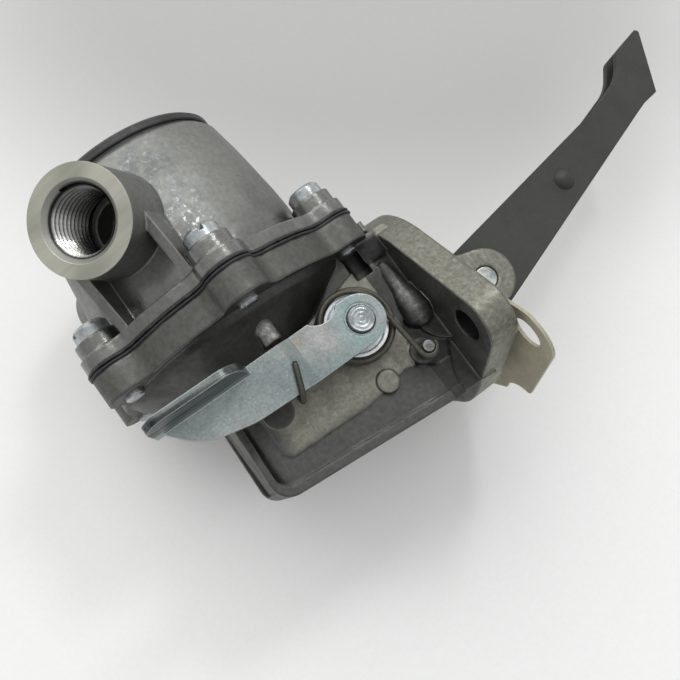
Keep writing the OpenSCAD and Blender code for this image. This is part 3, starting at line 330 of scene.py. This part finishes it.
def tint_ribs_and_lug(g, colour, out):
    """The ribs beside the flange, with a few bright specks as painted glints, and the weep lug's end,
    lighter, with bright specks.
    """
    rib = g.times(g.between(g.x, -14.6, -9.2, 0.5), g.between(g.z, 4, 20, 3))
    rib = g.times(rib, g.past(out, PANEL_Y, PANEL_Y + 1.3))
    colour = g.mix(rib, colour, (0.105, 0.105, 0.098))
    lug = g.times(g.within(WEEP_LUG, 4.6, 0.5), g.past(out, 25.2, 26.2))
    colour = g.mix(lug, colour, (0.20, 0.20, 0.19))
    # bright specks: on the lug's end, and on the ribs as painted glints
    lug_specks_and_rib_glints = g.times(g.either(lug, g.times(rib, 0.25)), g.ramp(g.noise(900, 6, 0.7), 0.45, 0.65))
    return g.mix(lug_specks_and_rib_glints, colour, (0.40, 0.40, 0.38))


def lower_casting():
    """Dark die casting, warmer and lighter on the side panels, the flange's edge and the ears."""
    g = Graph("lower_casting")
    out = g.math("ABSOLUTE", g.y)
    patches = g.ramp(g.noise(45, 5, 0.62, 0.4), 0.35, 0.66)
    colour = g.mix(patches, (0.054, 0.054, 0.052), (0.083, 0.083, 0.079))
    # the rim and the foot's rounded border are a cleaner grey
    foot = g.times(g.between(out, 16.2, 19.5, 0.5), g.past(g.z, 6, 2))
    colour = g.mix(g.past(g.z, 31.5, 33), colour, (0.120, 0.120, 0.111))
    colour = g.mix(foot, colour, (0.092, 0.092, 0.089))
    for tint in (tint_panels, tint_flange, tint_ribs_and_lug):
        colour = tint(g, colour, out)
    pits = g.ramp(g.noise(1500, 2, 0.7), 0.62, 0.72)
    colour = g.mix(g.times(pits, 0.4), colour, (0.05, 0.05, 0.046))
    colour = g.grain(colour, 800, 3, 0.88, 1.13)
    edge = g.times(g.edges(0.6), g.ramp(g.noise(240, 3), 0.35, 0.65, 0.15, 0.6))
    colour = g.mix(edge, colour, (0.40, 0.40, 0.375))
    height = g.math("ADD", g.noise(700, 4, 0.65), g.times(g.noise(130, 3), 2.0))
    return g.finish(colour, 0.85, g.vary(150, 4, 0.40, 0.58), g.bump(height, 0.06, g.bevel(1.1, 12)))


def upper_casting():
    """Silvery die casting with a burnished streak and painted glints down the near side, painted shade low
    down, and turned port faces with painted sheen.
    """
    g = Graph("upper_casting")
    patches = g.vary(40, 5, 0, 1, rough=0.6, distortion=0.5)
    colour = g.mix(patches, (0.185, 0.188, 0.178), (0.25, 0.253, 0.238))
    # mottled blue-grey spots and bright flecks where the drum has been rubbed, and painted highlights as
    # glints near the boss
    streak = g.either(g.within((-49, -27, 72), 8, 6), g.within((-47, -28.5, 61), 7, 5))
    spots = g.times(streak, g.ramp(g.noise(330, 8, 0.78), 0.42, 0.62))
    colour = g.mix(g.times(spots, 0.7), colour, (0.125, 0.135, 0.15))
    flecks = g.times(streak, g.ramp(g.noise(700, 6, 0.7), 0.55, 0.7))
    colour = g.mix(flecks, colour, (0.40, 0.41, 0.42))
    painted_glints = g.times(g.within((-47, -29, 56), 5, 3), g.ramp(g.noise(800, 5, 0.6), 0.55, 0.66))
    colour = g.mix(painted_glints, colour, (0.72, 0.73, 0.72))
    colour = g.mix(g.times(g.edges(0.8), 0.4), colour, (0.55, 0.56, 0.56))
    colour = g.grain(colour, 900, 3, 0.9, 1.1)
    # the bosses and the rim are smoother than the drum, and darker towards the bottom as painted shade
    colour = g.scale_colour(colour, g.past(g.z, 56, 50, 1, 0.84))
    gloss = g.past(g.z, 51, 47, g.vary(120, 4, 0.46, 0.6), 0.26)
    height = g.math("ADD", g.noise(600, 3, 0.6), g.times(g.noise(90, 3), 2.5))
    cast_normal = g.bump(height, 0.06, g.bevel(0.8))
    # the countersinks, and the turned port faces, brushed round the port's axis
    faces, mouths, turns = [], [], []
    for side in (NEAR, FAR):
        _, out, cross = g.from_port(side)
        faces.append(g.past(out, -0.08, -0.03))
        mouth = g.past(g.length(cross), PORT_SINK_R + 0.05, PORT_SINK_R - 0.05)
        mouths.append(g.times(mouth, g.past(out, -1.2, -1.1)))
        turns.append(g.vector("NORMALIZE", cross))
    face = g.either(*faces)
    around = g.mix(faces[1], *turns)
    # painted sheen: each turned face is painted brighter in two wedges, where its turn runs along a fixed way
    sheen_way = (0.77 * RIGHT - 0.64 * UP).normalized()
    lay = g.math("ABSOLUTE", g.dot(around, tuple(sheen_way)))
    turned = g.mix(g.ramp(lay, 0.72, 1.0), (0.36, 0.36, 0.305), (0.52, 0.515, 0.44))
    rings = g.vary(60, 2, 0.93, 1.05, rough=0.5, place=g.stretched(1, 1, 12))
    colour = g.mix(g.either(*mouths), colour, (0.29, 0.29, 0.27))
    colour = g.mix(face, colour, g.scale_colour(turned, rings))
    gloss = g.ramp(face, 0, 1, gloss, 0.33)
    normal = g.mix_vector(face, cast_normal, g.bevel(0.15))
    return g.finish(colour, 0.9, gloss, normal, Anisotropic=g.times(face, 0.8), Tangent=around)


def thread_painted_light():
    """Bright crests and dark roots as painted highlight and shade, with more painted shade deeper in each
    bore and on its upper half.
    """
    g = Graph("thread_painted_light")
    radii, depths, shades = [], [], []
    for side in (NEAR, FAR):
        away, out, cross = g.from_port(side)
        radii.append(g.length(cross))
        depths.append(g.math("ABSOLUTE", out))
        shades.append(g.past(g.dot(away, tuple(-0.2 * RIGHT + UP)), -3, 5, 1, 0.3))
    root = g.past(g.math("MINIMUM", *radii), PORT_MINOR_R + 0.15, PORT_MAJOR_R - 0.15)
    colour = g.mix(root, (0.70, 0.70, 0.67), (0.05, 0.05, 0.046))
    shade = g.times(g.either(*shades), g.past(g.math("MINIMUM", *depths), 3, 14, 1.0, 0.3))
    colour = g.grain(g.scale_colour(colour, shade), 500, 3, 0.85, 1.1)
    return g.finish(colour, 1.0, 0.24, g.bump(g.noise(900, 2), 0.02))


def lever_zinc():
    """Blue-passivated zinc with greenish and brownish tinges."""
    g = Graph("blue_zinc")
    patches = g.ramp(g.noise(70, 4, 0.6, 1.0), 0.35, 0.68)
    colour = g.mix(patches, (0.225, 0.262, 0.262), (0.32, 0.35, 0.345))
    tinge = g.ramp(g.noise(110, 3, 0.6, 2.0), 0.55, 0.75)
    colour = g.mix(g.times(tinge, 0.6), colour, (0.21, 0.325, 0.325))
    # a warmer grey between the hub and the jog, teal round the hub, and a brown stain at the jog
    warm = g.times(g.within((-37, -LEVER_Y, 18), 5.5, 3), g.ramp(g.noise(90, 4), 0.3, 0.6))
    colour = g.mix(g.times(warm, 0.7), colour, (0.42, 0.405, 0.40))
    hub = (SHAFT[0], -LEVER_Y, SHAFT[1])
    teal = g.times(g.within(hub, 7, 2), g.ramp(g.noise(150, 4), 0.35, 0.6))
    colour = g.mix(g.times(teal, 0.6), colour, (0.24, 0.335, 0.34))
    stain = g.times(g.within((-44, -29, 20), 3, 2), g.ramp(g.noise(260, 3), 0.42, 0.6))
    colour = g.mix(g.times(stain, 0.6), colour, (0.30, 0.28, 0.20))
    flecks = g.ramp(g.noise(1500, 2, 0.5), 0.64, 0.74)
    colour = g.mix(g.times(flecks, 0.35), colour, (0.60, 0.64, 0.66))
    colour = g.grain(colour, 1600, 2, 0.88, 1.1)
    # the thumb pad is darkened by painted shade, in streaks along its length
    pad_shade_streaks = g.ramp(g.noise(60, 3, 0.6, place=g.stretched(0.4, 9, 9)), 0.35, 0.65, 0.12, 0.5)
    pad = g.past(g.y, -31.6, -32.6)
    colour = g.scale_colour(colour, g.ramp(pad, 0, 1, 1, pad_shade_streaks))
    # bright edges: partly wear, partly painted highlights
    colour = g.mix(g.times(g.edges(0.5), 0.6), colour, (0.82, 0.86, 0.88))
    # a dark ring round the shaft's riveted end
    ring = g.between(g.from_shaft(), 3.2, 3.5, 0.08)
    colour = g.mix(ring, colour, (0.03, 0.032, 0.034))
    normal = g.bump(g.noise(500, 4, 0.65), 0.05, g.bevel(0.35))
    return g.finish(colour, 0.92, g.vary(200, 4, 0.30, 0.46), normal)


def riveted_zinc():
    """Bright zinc, with turned rings on the priming shaft's flat end, and paler on the rocker pin's."""
    g = Graph("plated_steel")
    ring_width = 0.95 * MM
    radius = g.from_shaft()
    rings = g.math("SINE", g.times(radius, 2 * math.pi / ring_width))
    shaft_end = g.times(g.past(radius, 6, 5), g.past(g.y, -20, -22))
    colour = g.mix(g.ramp(g.noise(220, 4), 0.35, 0.65), (0.30, 0.325, 0.34), (0.52, 0.54, 0.55))
    pin = g.times(g.within((10.6, -17.3, 7.4), 5, 0.5), g.ramp(g.noise(420, 4), 0.35, 0.6))
    colour = g.mix(pin, colour, (0.60, 0.63, 0.57))
    colour = g.grain(colour, 1300, 2, 0.85, 1.1)
    height = g.math("ADD", g.times(rings, g.times(shaft_end, 0.5)), g.noise(900, 3, 0.6))
    return g.finish(colour, 0.95, g.vary(300, 3, 0.2, 0.36), g.bump(height, 0.05, g.bevel(0.4)))


def rubber(name, tone, rough):
    """A dull black or brown sheet, mottled between darker and lighter shades of its tone."""
    g = Graph(name)
    dark, light = (tuple(k * t for t in tone) for k in (0.6, 1.6))
    colour = g.mix(g.ramp(g.noise(350, 4), 0.35, 0.65), dark, light)
    gloss = g.vary(500, 3, rough - 0.08, rough + 0.1)
    return g.finish(colour, 0.0, gloss, g.bump(g.noise(1400, 3), 0.06, g.bevel(0.15)))


def arm_steel():
    """Phosphated sheet steel: dull, even and slightly olive."""
    g = Graph("arm_steel")
    colour = g.mix(g.vary(40, 4, 0, 1), (0.033, 0.035, 0.030), (0.042, 0.044, 0.038))
    colour = g.grain(colour, 1200, 3, 0.93, 1.07)
    scuffs = g.ramp(g.noise(120, 5, 0.7, 1.5), 0.62, 0.78)
    colour = g.mix(g.times(scuffs, 0.35), colour, (0.085, 0.085, 0.078))
    return g.finish(colour, 0.3, g.vary(200, 3, 0.5, 0.62), g.bump(g.noise(700, 4), 0.03, g.bevel(0.4)))


def cap_paint():
    """Dark paint on the cap."""
    g = Graph("cap_steel")
    colour = g.mix(g.ramp(g.noise(300, 3), 0.35, 0.65), (0.020, 0.020, 0.021), (0.034, 0.034, 0.035))
    return g.finish(colour, 0.1, g.vary(400, 3, 0.42, 0.55), g.bump(g.noise(900, 3), 0.05, g.bevel(0.4)))


def gasket_fibre():
    """Buff fibre sheet with paler cut edges."""
    g = Graph("gasket_fibre")
    colour = g.mix(g.vary(160, 5, 0, 1, rough=0.7), (0.35, 0.325, 0.235), (0.42, 0.39, 0.295))
    colour = g.grain(colour, 1800, 2, 0.9, 1.08)
    colour = g.mix(g.times(g.edges(0.5), 0.6), colour, (0.70, 0.66, 0.53))
    return g.finish(colour, 0.0, 0.8, g.bump(g.noise(1500, 3), 0.05, g.bevel(0.15)))


LOOKS = {
    "lower_casting": lower_casting(),
    "upper_casting": upper_casting(),
    "thread": thread_painted_light(),
    "cap_steel": cap_paint(),
    "plated_steel": riveted_zinc(),
    "blue_zinc": lever_zinc(),
    "white_zinc": metal("white_zinc", (0.82, 0.85, 0.87), (0.66, 0.69, 0.71), rough=0.34, spread=0.08),
    "plain_steel": metal("plain_steel", (0.40, 0.41, 0.40), (0.25, 0.26, 0.26), rough=0.36),
    "spring_steel": metal("spring_steel", (0.30, 0.31, 0.32), (0.20, 0.20, 0.21), rough=0.35),
    "lever_spring_steel": metal("lever_spring_steel", (0.088, 0.084, 0.066), (0.055, 0.055, 0.044),
                                rough=0.45, metallic=0.6, grain=1500, depth=0.03),
    "anchor_steel": metal("anchor_steel", (0.24, 0.245, 0.23), (0.09, 0.09, 0.085), rough=0.5, blotch=450),
    "arm_steel": arm_steel(),
    "brass": metal("brass", (0.62, 0.46, 0.20), (0.42, 0.31, 0.14), rough=0.3),
    "black_rubber": rubber("black_rubber", (0.016, 0.016, 0.017), 0.5),
    "valve_fibre": rubber("valve_fibre", (0.08, 0.055, 0.035), 0.6),
    "gasket_fibre": gasket_fibre(),
}


def paint_cad():
    """Each CAD node's look is its slot's, but for three that look different in the photo."""
    slots = {piece["node"]: piece["material_slot"] for piece in frame["record"]["subparts"]}
    slots.update(core_plug="lower_casting", spring_anchor="anchor_steel", cup_washer="white_zinc")
    for name, obj in frame["nodes"].items():
        for place in obj.material_slots:
            place.material = LOOKS[slots[name]]


# ---- Meshes

def add_object(name, data):
    """A new object in the scene."""
    obj = bpy.data.objects.new(name, data)
    bpy.context.scene.collection.objects.link(obj)
    return obj


def add_mesh(name, points, faces, slot, look=None, smooth=True):
    """A mesh with points in millimetres in the part's frame. Its look is its slot's, unless one is given."""
    mesh = bpy.data.meshes.new(name)
    mesh.from_pydata([tuple(MM * c for c in p) for p in points], [], faces)
    mesh.validate()
    for face in mesh.polygons:
        face.use_smooth = smooth
    mesh.materials.append(LOOKS[look or slot])
    obj = add_object(name, mesh)
    return obj


def reworked(node, name, slot):
    """A new object with a copy of a node's mesh, which is itself left alone."""
    obj = add_object(name, frame["nodes"][node].data.copy())
    for place in obj.material_slots:
        place.material = LOOKS[slot]
    return obj


def loft(rings, closed=True):
    """Points and faces between rings of equal length, each closed on itself or open."""
    count = len(rings[0])
    faces = []
    for i in range(len(rings) - 1):
        for k in range(count if closed else count - 1):
            a, b = i * count + k, i * count + (k + 1) % count
            faces.append((a, b, b + count, a + count))
    return [p for ring in rings for p in ring], faces


def crisp(mesh):
    """Corner normals that lean far from their face's, as a cut leaves them, are set to the face's."""
    same_way = 0.98
    normals = [Vector(corner.vector) for corner in mesh.corner_normals]
    for face in mesh.polygons:
        for k in face.loop_indices:
            if normals[k].dot(face.normal) < same_way:
                normals[k] = face.normal.copy()
    mesh.normals_split_custom_set(normals)


def carved(node, name, slot, solids):
    """A copy of a node's mesh with solids (points and faces) cut out of it."""
    obj = reworked(node, name, slot)
    tools = []
    for points, faces in solids:
        tool = add_mesh("tool", points, faces, slot, smooth=False)
        bm = bmesh.new()
        bm.from_mesh(tool.data)
        bmesh.ops.remove_doubles(bm, verts=bm.verts, dist=1e-6)
        bmesh.ops.recalc_face_normals(bm, faces=bm.faces)
        bm.to_mesh(tool.data)
        bm.free()
        cut = obj.modifiers.new("cut", "BOOLEAN")
        cut.operation = "DIFFERENCE"
        cut.solver = "EXACT"
        cut.object = tool
        tools.append(tool)
    bpy.context.view_layer.update()
    obj.data = bpy.data.meshes.new_from_object(obj.evaluated_get(bpy.context.evaluated_depsgraph_get()))
    obj.modifiers.clear()
    for tool in tools:
        bpy.data.objects.remove(tool)
    crisp(obj.data)
    return obj


def smooth_path(points, per_span):
    """Catmull-Rom points through a list of vectors."""
    out = []
    for i in range(len(points) - 1):
        p0, p1 = points[max(i - 1, 0)], points[i]
        p2, p3 = points[i + 1], points[min(i + 2, len(points) - 1)]
        for k in range(per_span):
            t = k / per_span
            out.append(0.5 * (2 * p1 + (p2 - p0) * t + (2 * p0 - 5 * p1 + 4 * p2 - p3) * t * t
                       + (3 * p1 - p0 - 3 * p2 + p3) * t ** 3))
    return out + [points[-1]]


def tube(name, path, radius, slot):
    """A round tube along smooth points, a little thinner at its two ends."""
    sides, end_size = 16, 0.75
    last = len(path) - 1
    normal = (path[1] - path[0]).normalized().orthogonal().normalized()
    rings = []
    for i, point in enumerate(path):
        tangent = (path[min(i + 1, last)] - path[max(i - 1, 0)]).normalized()
        normal = (normal - normal.dot(tangent) * tangent).normalized()
        side = tangent.cross(normal)
        size = radius * (end_size if i in (0, last) else 1)
        turns = [2 * math.pi * k / sides for k in range(sides)]
        rings.append([point + size * (math.cos(a) * normal + math.sin(a) * side) for a in turns])
    points, faces = loft(rings)
    faces.append(tuple(reversed(range(sides))))
    faces.append(tuple(last * sides + k for k in range(sides)))
    return add_mesh(name, points, faces, slot)


# ---- Ports

def port_ring(side, profile, angle):
    """A profile of points [from the drum's axis, from the port's axis], at an angle round the port's axis."""
    axis = port_axis(side)
    out = math.cos(angle) * Vector((-axis.y, axis.x, 0)) + Vector((0, 0, math.sin(angle)))
    return [port_point(side, u) + r * out for u, r in profile]


def bored_upper_body():
    """The upper body with its ports bored and countersunk to the thread's size in the photo."""
    steps, core = 96, 0.01
    past_face = PORT_REACH + 1
    profile = [(THREAD_START, core), (THREAD_START, PORT_MAJOR_R), (THREAD_END, PORT_MAJOR_R),
               (PORT_REACH, PORT_SINK_R), (past_face, PORT_SINK_R + 1), (past_face, core)]
    bores = []
    for side in (NEAR, FAR):
        rings = [port_ring(side, profile, 2 * math.pi * i / steps) for i in range(steps)]
        bores.append(loft(rings + rings[:1]))
    return carved("upper_body", "upper_body_bored", "upper_casting", bores)


def port_thread(name, side):
    """A helical ridge on the wall of a port's bore, which fades in and out over half a turn."""
    steps = 48
    total = (THREAD_END - THREAD_START) / THREAD_PITCH * steps
    foot, crest = 0.74, 0.1
    foot_r = PORT_MAJOR_R - 0.02
    rings = []
    for i in range(int(total) + 1):
        fade = min(1, 2 * i / steps, 2 * (total - i) / steps)
        crest_r = PORT_MAJOR_R - (PORT_MAJOR_R - PORT_MINOR_R) * fade
        u = THREAD_START + THREAD_PITCH * i / steps
        profile = [(u - foot, foot_r), (u - crest, crest_r), (u + crest, crest_r), (u + foot, foot_r)]
        rings.append(port_ring(side, profile, 2 * math.pi * i / steps))
    points, faces = loft(rings, closed=False)
    return add_mesh(name, points, faces, "upper_casting", look="thread", smooth=False)


# ---- Lever, gasket and plies

def notched_lever():
    """The priming lever with the hollow in its upper edge that shows the cup washer."""
    x, z, r, steps = -34.5, 24.5, 5.2, 48
    turns = [2 * math.pi * k / steps for k in range(steps)]
    rings = [[(x + r * math.cos(a), y, z + r * math.sin(a)) for a in turns] for y in (-31, -26)]
    points, faces = loft(rings)
    faces += [tuple(range(steps)), tuple(range(2 * steps - 1, steps - 1, -1))]
    return carved("priming_lever", "priming_lever_notched", "blue_zinc", [(points, faces)])


def curled_gasket():
    """The loose gasket, flat behind the flange above and curled away from it below."""
    cuts, lowest, cut_step = 21, -8, 0.7
    flat_x, lift = 0.62, 1.6
    curl_top, curl_run = 5, 12

    def middle_x(y, z):
        """Middle of the gasket's thickness in the solid, which hangs at a slant."""
        return 7.632 + 0.1405 * y - 0.0264 * z

    obj = reworked("mounting_gasket", "mounting_gasket_curled", "gasket_fibre")
    bm = bmesh.new()
    bm.from_mesh(obj.data)
    for k in range(cuts):
        bmesh.ops.bisect_plane(bm, geom=bm.verts[:] + bm.edges[:] + bm.faces[:],
                               plane_co=(0, 0, (lowest + cut_step * k) * MM), plane_no=(0, 0, 1))
    for vert in bm.verts:
        x, y, z = vert.co / MM
        offset = x - middle_x(y, z)
        # the far end lies flatter than in the solid
        curled_x = middle_x(min(0, y), z)
        t = min(1, max(0, (curl_top - z) / curl_run))
        t = t * t * (3 - 2 * t)
        vert.co = Vector((flat_x + t * (curled_x - flat_x) + offset, y, z + lift * (1 - t))) * MM
    bm.to_mesh(obj.data)
    bm.free()
    obj.data.attributes.remove(obj.data.attributes["custom_normal"])
    for face in obj.data.polygons:
        face.use_smooth = True
    obj.data.set_sharp_from_angle(angle=math.radians(35))
    return obj


def lobed_outline(count):
    """Radius of the rims' lobed outline at each of count angles."""
    reach = RIM_R + LOBE_FILLET
    # angles from a lobe's middle to where its arc ends and to where its fillet meets the rim
    rim_a = math.acos((reach ** 2 + SCREW_R ** 2 - (LOBE_R + LOBE_FILLET) ** 2) / (2 * SCREW_R * reach))
    turn = math.atan2(reach * math.sin(rim_a), reach * math.cos(rim_a) - SCREW_R)
    lobe_a = math.atan2(LOBE_R * math.sin(turn), SCREW_R + LOBE_R * math.cos(turn))

    def chord(radius, distance, angle):
        """Half the chord that a ray at an angle cuts from a circle at a distance."""
        return math.sqrt(max(0, radius ** 2 - (distance * math.sin(angle)) ** 2))

    radii = []
    for i in range(count):
        a = abs(math.radians((360 * i / count) % 60 - 30))
        if a < lobe_a:
            radii.append(SCREW_R * math.cos(a) + chord(LOBE_R, SCREW_R, a))
        elif a < rim_a:
            radii.append(reach * math.cos(rim_a - a) - chord(LOBE_FILLET, reach, rim_a - a))
        else:
            radii.append(RIM_R)
    return radii


def ply(name, z_mid, seed):
    """One ply of the diaphragm, a little wavy and ragged where it stands out of the rims."""
    count, half_t, hole_r = 720, 0.34, 3
    ragged, wavy = 0.28, 0.16
    rng = random.Random(seed)
    waves = [(rng.choice((5, 9, 14, 23, 37, 61, 97)), rng.random() * 6.28, rng.random()) for _ in range(9)]

    def wave(t, phase):
        """Waves of many lengths round the rim, added up."""
        return sum(size * math.sin(k * t + start + phase) for k, start, size in waves) / (len(waves) / 2)

    outline = lobed_outline(count)
    # the section, from the hole (None) along the lower face to the rounded edge and back along the upper
    # face: how far past the outline, and at what part of the half thickness
    lower = [(None, -1), (-1.2, -1), (0.1, -1), (0.35, -0.7)]
    section = lower + [(0.45, 0)] + [(out, -level) for out, level in reversed(lower)]
    rings = []
    for out, level in section:
        loose = 0 if out is None else max(0, out + 0.1) / 0.5
        ring = []
        for i in range(count):
            t = 2 * math.pi * i / count
            r = hole_r if out is None else outline[i] + out + ragged * loose * wave(t, 0)
            z = z_mid + level * half_t + wavy * loose * wave(t, 2)
            ring.append((DIA_X + r * math.cos(t), r * math.sin(t), z))
        rings.append(ring)
    points, faces = loft(rings)
    return add_mesh(name, points, [face[::-1] for face in faces], "black_rubber")


# ---- Lever spring

def lever_spring():
    """Hooked round its anchor, two turns round the shaft, then behind the lever and over its lower edge."""
    wire, coil_r, pitch, turns = 1.4, 8.8, 2.2, 2
    hook_r, lead_r = 2.2, 6.7
    coil_out = LEVER_Y - LEVER_T - 2.1
    anchor = Vector(ANCHOR) - Vector(SHAFT)
    # where the lever's lower edge is gripped, from the shaft, and the way up across the lever
    grip, grip_dir = Vector((-21.3, -6)), Vector((0.37, 0.93)).normalized()
    grip_r, grip_y = 1.8, LEVER_Y + LEVER_JOG - LEVER_T / 2

    def angle(v):
        return math.degrees(math.atan2(v.y, v.x))

    def ray(a):
        return Vector((math.cos(math.radians(a)), math.sin(math.radians(a))))

    def place(v, y):
        return Vector((v.x + SHAFT[0], y, v.y + SHAFT[1]))

    lead_a = angle(anchor) + 90 - math.degrees(math.asin((lead_r + hook_r) / anchor.length))
    last_a = angle(grip) - math.degrees(math.acos(coil_r / grip.length)) + 360 * (1 + turns)

    # the hook round the anchor, in 20 degree steps, and the straight lead to the coil
    hook_in, steps, growth, leg = 0.2, 48, 110, 6
    path = [place(anchor + hook_r * ray(lead_a + 360 - 20 * k), -coil_out + hook_in) for k in range(10)]
    lead = anchor + hook_r * ray(lead_a + 180)
    first = lead_r * ray(lead_a)
    path += [place(lead + (first - lead) * t, -coil_out + hook_in * (1 - t)) for t in (0.15, 0.5, 0.85)]
    # the coil, which grows to its full radius over its first part, and the leg that leaves it
    for k in range(steps + 1):
        a = lead_a + (last_a - lead_a) * k / steps
        r = lead_r + (coil_r - lead_r) * min(1, (a - lead_a) / growth)
        path.append(place(r * ray(a), -coil_out + pitch * (a - lead_a) / 360))
    path.append(place(coil_r * ray(last_a) + leg * ray(last_a + 90), path[-1].y))
    # half a turn round the lever's edge, and up its outer face
    for t in range(0, 181, 30):
        s, c = math.sin(math.radians(t)), math.cos(math.radians(t))
        path.append(place(grip - grip_r * s * grip_dir, -grip_y + grip_r * c))
    path += [place(grip + up * grip_dir, -grip_y - grip_r) for up in (2, 7)]
    return tube("lever_spring", smooth_path(path, 4), wire / 2, "lever_spring_steel")


# ---- The pieces, what they move with and the nodes that they stand for

# The inner springs: node, the body whose piece each one pushes, x, and z of its still and its moving end
SPRINGS = (("diaphragm_spring", "diaphragm_stack", DIA_X, 25.9, 38.2),
           ("inlet_valve_spring", "inlet_valve", -35.4, 47.7, 51.1),
           ("outlet_valve_spring", "outlet_valve", -59.4, 53.1, 49.7),
           ("rocker_spring", "rocker", -9.6, -10.9, -0.75))


def show_pieces():
    """Makes each piece, says what all but the springs move with, and hides the node that it stands for."""
    for side, name in ((NEAR, "near_port_thread"), (FAR, "far_port_thread")):
        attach(port_thread(name, side), "body")
    for make, body, node in ((bored_upper_body, "body", "upper_body"),
                             (curled_gasket, "body", "mounting_gasket"),
                             (notched_lever, "priming", "priming_lever")):
        obj = make()
        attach(obj, body)
        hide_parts(node)
    for node, body, x, still, moving in SPRINGS:
        obj = reworked(node, node + "_pressed", "spring_steel")
        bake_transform(obj)
        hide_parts(node)
    for name, node, rise, seed in (("upper_ply_wavy", "diaphragm_upper_ply", 0.425, 3),
                                   ("lower_ply_wavy", "diaphragm_lower_ply", -0.425, 5)):
        obj = ply(name, SEAT_Z + rise, seed)
        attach(obj, "body")
        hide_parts(node)
    spring = lever_spring()
    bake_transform(spring)
    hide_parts("priming_spring")


# ---- Floor, light and camera

def table_paint():
    """White paper seen from its front only, greyed by painted shade towards the top of the camera's view."""
    g = Graph("table_top")
    # the middle of the painted shade, where the paper is greyest
    painted_shade_middle = EYE + 0.27 * FORWARD + 0.12 * UP
    inner, outer, grey, white = 0.04, 0.12, 0.455, 0.875
    away = g.vector("SUBTRACT", g.place, tuple(painted_shade_middle))
    side, rise = g.times(g.dot(away, tuple(RIGHT)), 0.55), g.dot(away, tuple(UP))
    away = g.math("SQRT", g.math("ADD", g.times(side, side), g.times(rise, rise)))
    paper = g.mix(g.ramp(g.noise(900, 2), 0.4, 0.6), (0.99, 0.99, 0.985), (1.0, 1.0, 1.0))
    colour = g.scale_colour(paper, g.ramp(away, inner, outer, grey, white))
    sheet = g.node("ShaderNodeMixShader")
    clear = g.node("ShaderNodeBsdfTransparent").outputs[0]
    for i, v in enumerate((g.backfacing, g.principled(colour, Roughness=0.7), clear)):
        g.feed(sheet.inputs[i], v)
    g.feed(g.output.inputs["Surface"], sheet.outputs[0])
    return g.material


def floor():
    """The pump lies on its far side, on the port's rim, a rim lobe and the flange."""
    up = Vector((-0.059, -0.9977, 0.034)).normalized()
    contact = Vector((-56.1, 43.2, 65.7)) * MM
    across = up.orthogonal().normalized()
    along = up.cross(across)
    half = 3.0
    corners = [contact + half * (i * across + j * along) for i, j in ((-1, -1), (1, -1), (1, 1), (-1, 1))]
    mesh = bpy.data.meshes.new("table_top")
    mesh.from_pydata(corners, [], [(0, 1, 2, 3)])
    mesh.materials.append(table_paint())
    add_object("table_top", mesh)


def camera():
    """The photo's camera."""
    data = bpy.data.cameras.new("camera")
    data.sensor_width = 36
    data.lens = 42.04
    data.clip_start = 0.01
    obj = add_object("camera", data)
    turn = Matrix((RIGHT, UP, -FORWARD)).transposed().to_4x4()
    obj.matrix_world = Matrix.Translation(EYE) @ turn
    bpy.context.scene.camera = obj


# Square soft lights: the way to them along right, up and back from the photo's view, then their distance and
# size in metres, their power and their colour
LIGHTS = (("window", (-0.45, 0.85, 0.75), 1.5, 1.2, 8.5, (1.0, 0.99, 0.96)),
          ("strip", (0.25, 0.75, 0.6), 1.3, 0.2, 2.6, (1.0, 1.0, 1.0)),
          ("fill", (0.8, -0.1, 0.9), 1.5, 0.9, 1.5, (0.95, 0.98, 1.0)))


def area_light(name, towards, distance, size, power, colour):
    """One soft light, aimed at the pump's middle."""
    middle = Vector((-0.03, 0, 0.03))
    right, up, back = towards
    out = (right * RIGHT + up * UP - back * FORWARD).normalized()
    data = bpy.data.lights.new(name, "AREA")
    data.shape = "SQUARE"
    data.size = size
    data.energy = power
    data.color = colour
    obj = add_object(name, data)
    obj.location = middle + distance * out
    obj.rotation_euler = out.to_track_quat("Z", "Y").to_euler()


def sky():
    """A pale room, brighter towards the top of the photo."""
    bright_way = (-0.25 * RIGHT + 0.9 * UP - 0.35 * FORWARD).normalized()
    low, high, dim, bright = -0.6, 0.9, 0.50, 0.88
    world = bpy.data.worlds.new("studio")
    bpy.context.scene.world = world
    world.use_nodes = True
    tree = world.node_tree
    tree.nodes.clear()
    coords = tree.nodes.new("ShaderNodeTexCoord")
    dot = tree.nodes.new("ShaderNodeVectorMath")
    dot.operation = "DOT_PRODUCT"
    dot.inputs[1].default_value = tuple(bright_way)
    ramp = tree.nodes.new("ShaderNodeMapRange")
    ramp.interpolation_type = "SMOOTHSTEP"
    for i, v in enumerate((low, high, dim, bright)):
        ramp.inputs[i + 1].default_value = v
    background = tree.nodes.new("ShaderNodeBackground")
    background.inputs[0].default_value = (0.985, 0.992, 0.985, 1)
    out = tree.nodes.new("ShaderNodeOutputWorld")
    for a, b in ((coords.outputs["Generated"], dot.inputs[0]), (dot.outputs["Value"], ramp.inputs[0]),
                 (ramp.outputs[0], background.inputs[1]), (background.outputs[0], out.inputs[0])):
        tree.links.new(a, b)


paint_cad()
show_pieces()
floor()
camera()
for light in LIGHTS:
    area_light(*light)
sky()

scene = bpy.context.scene
scene.view_settings.view_transform = "Standard"
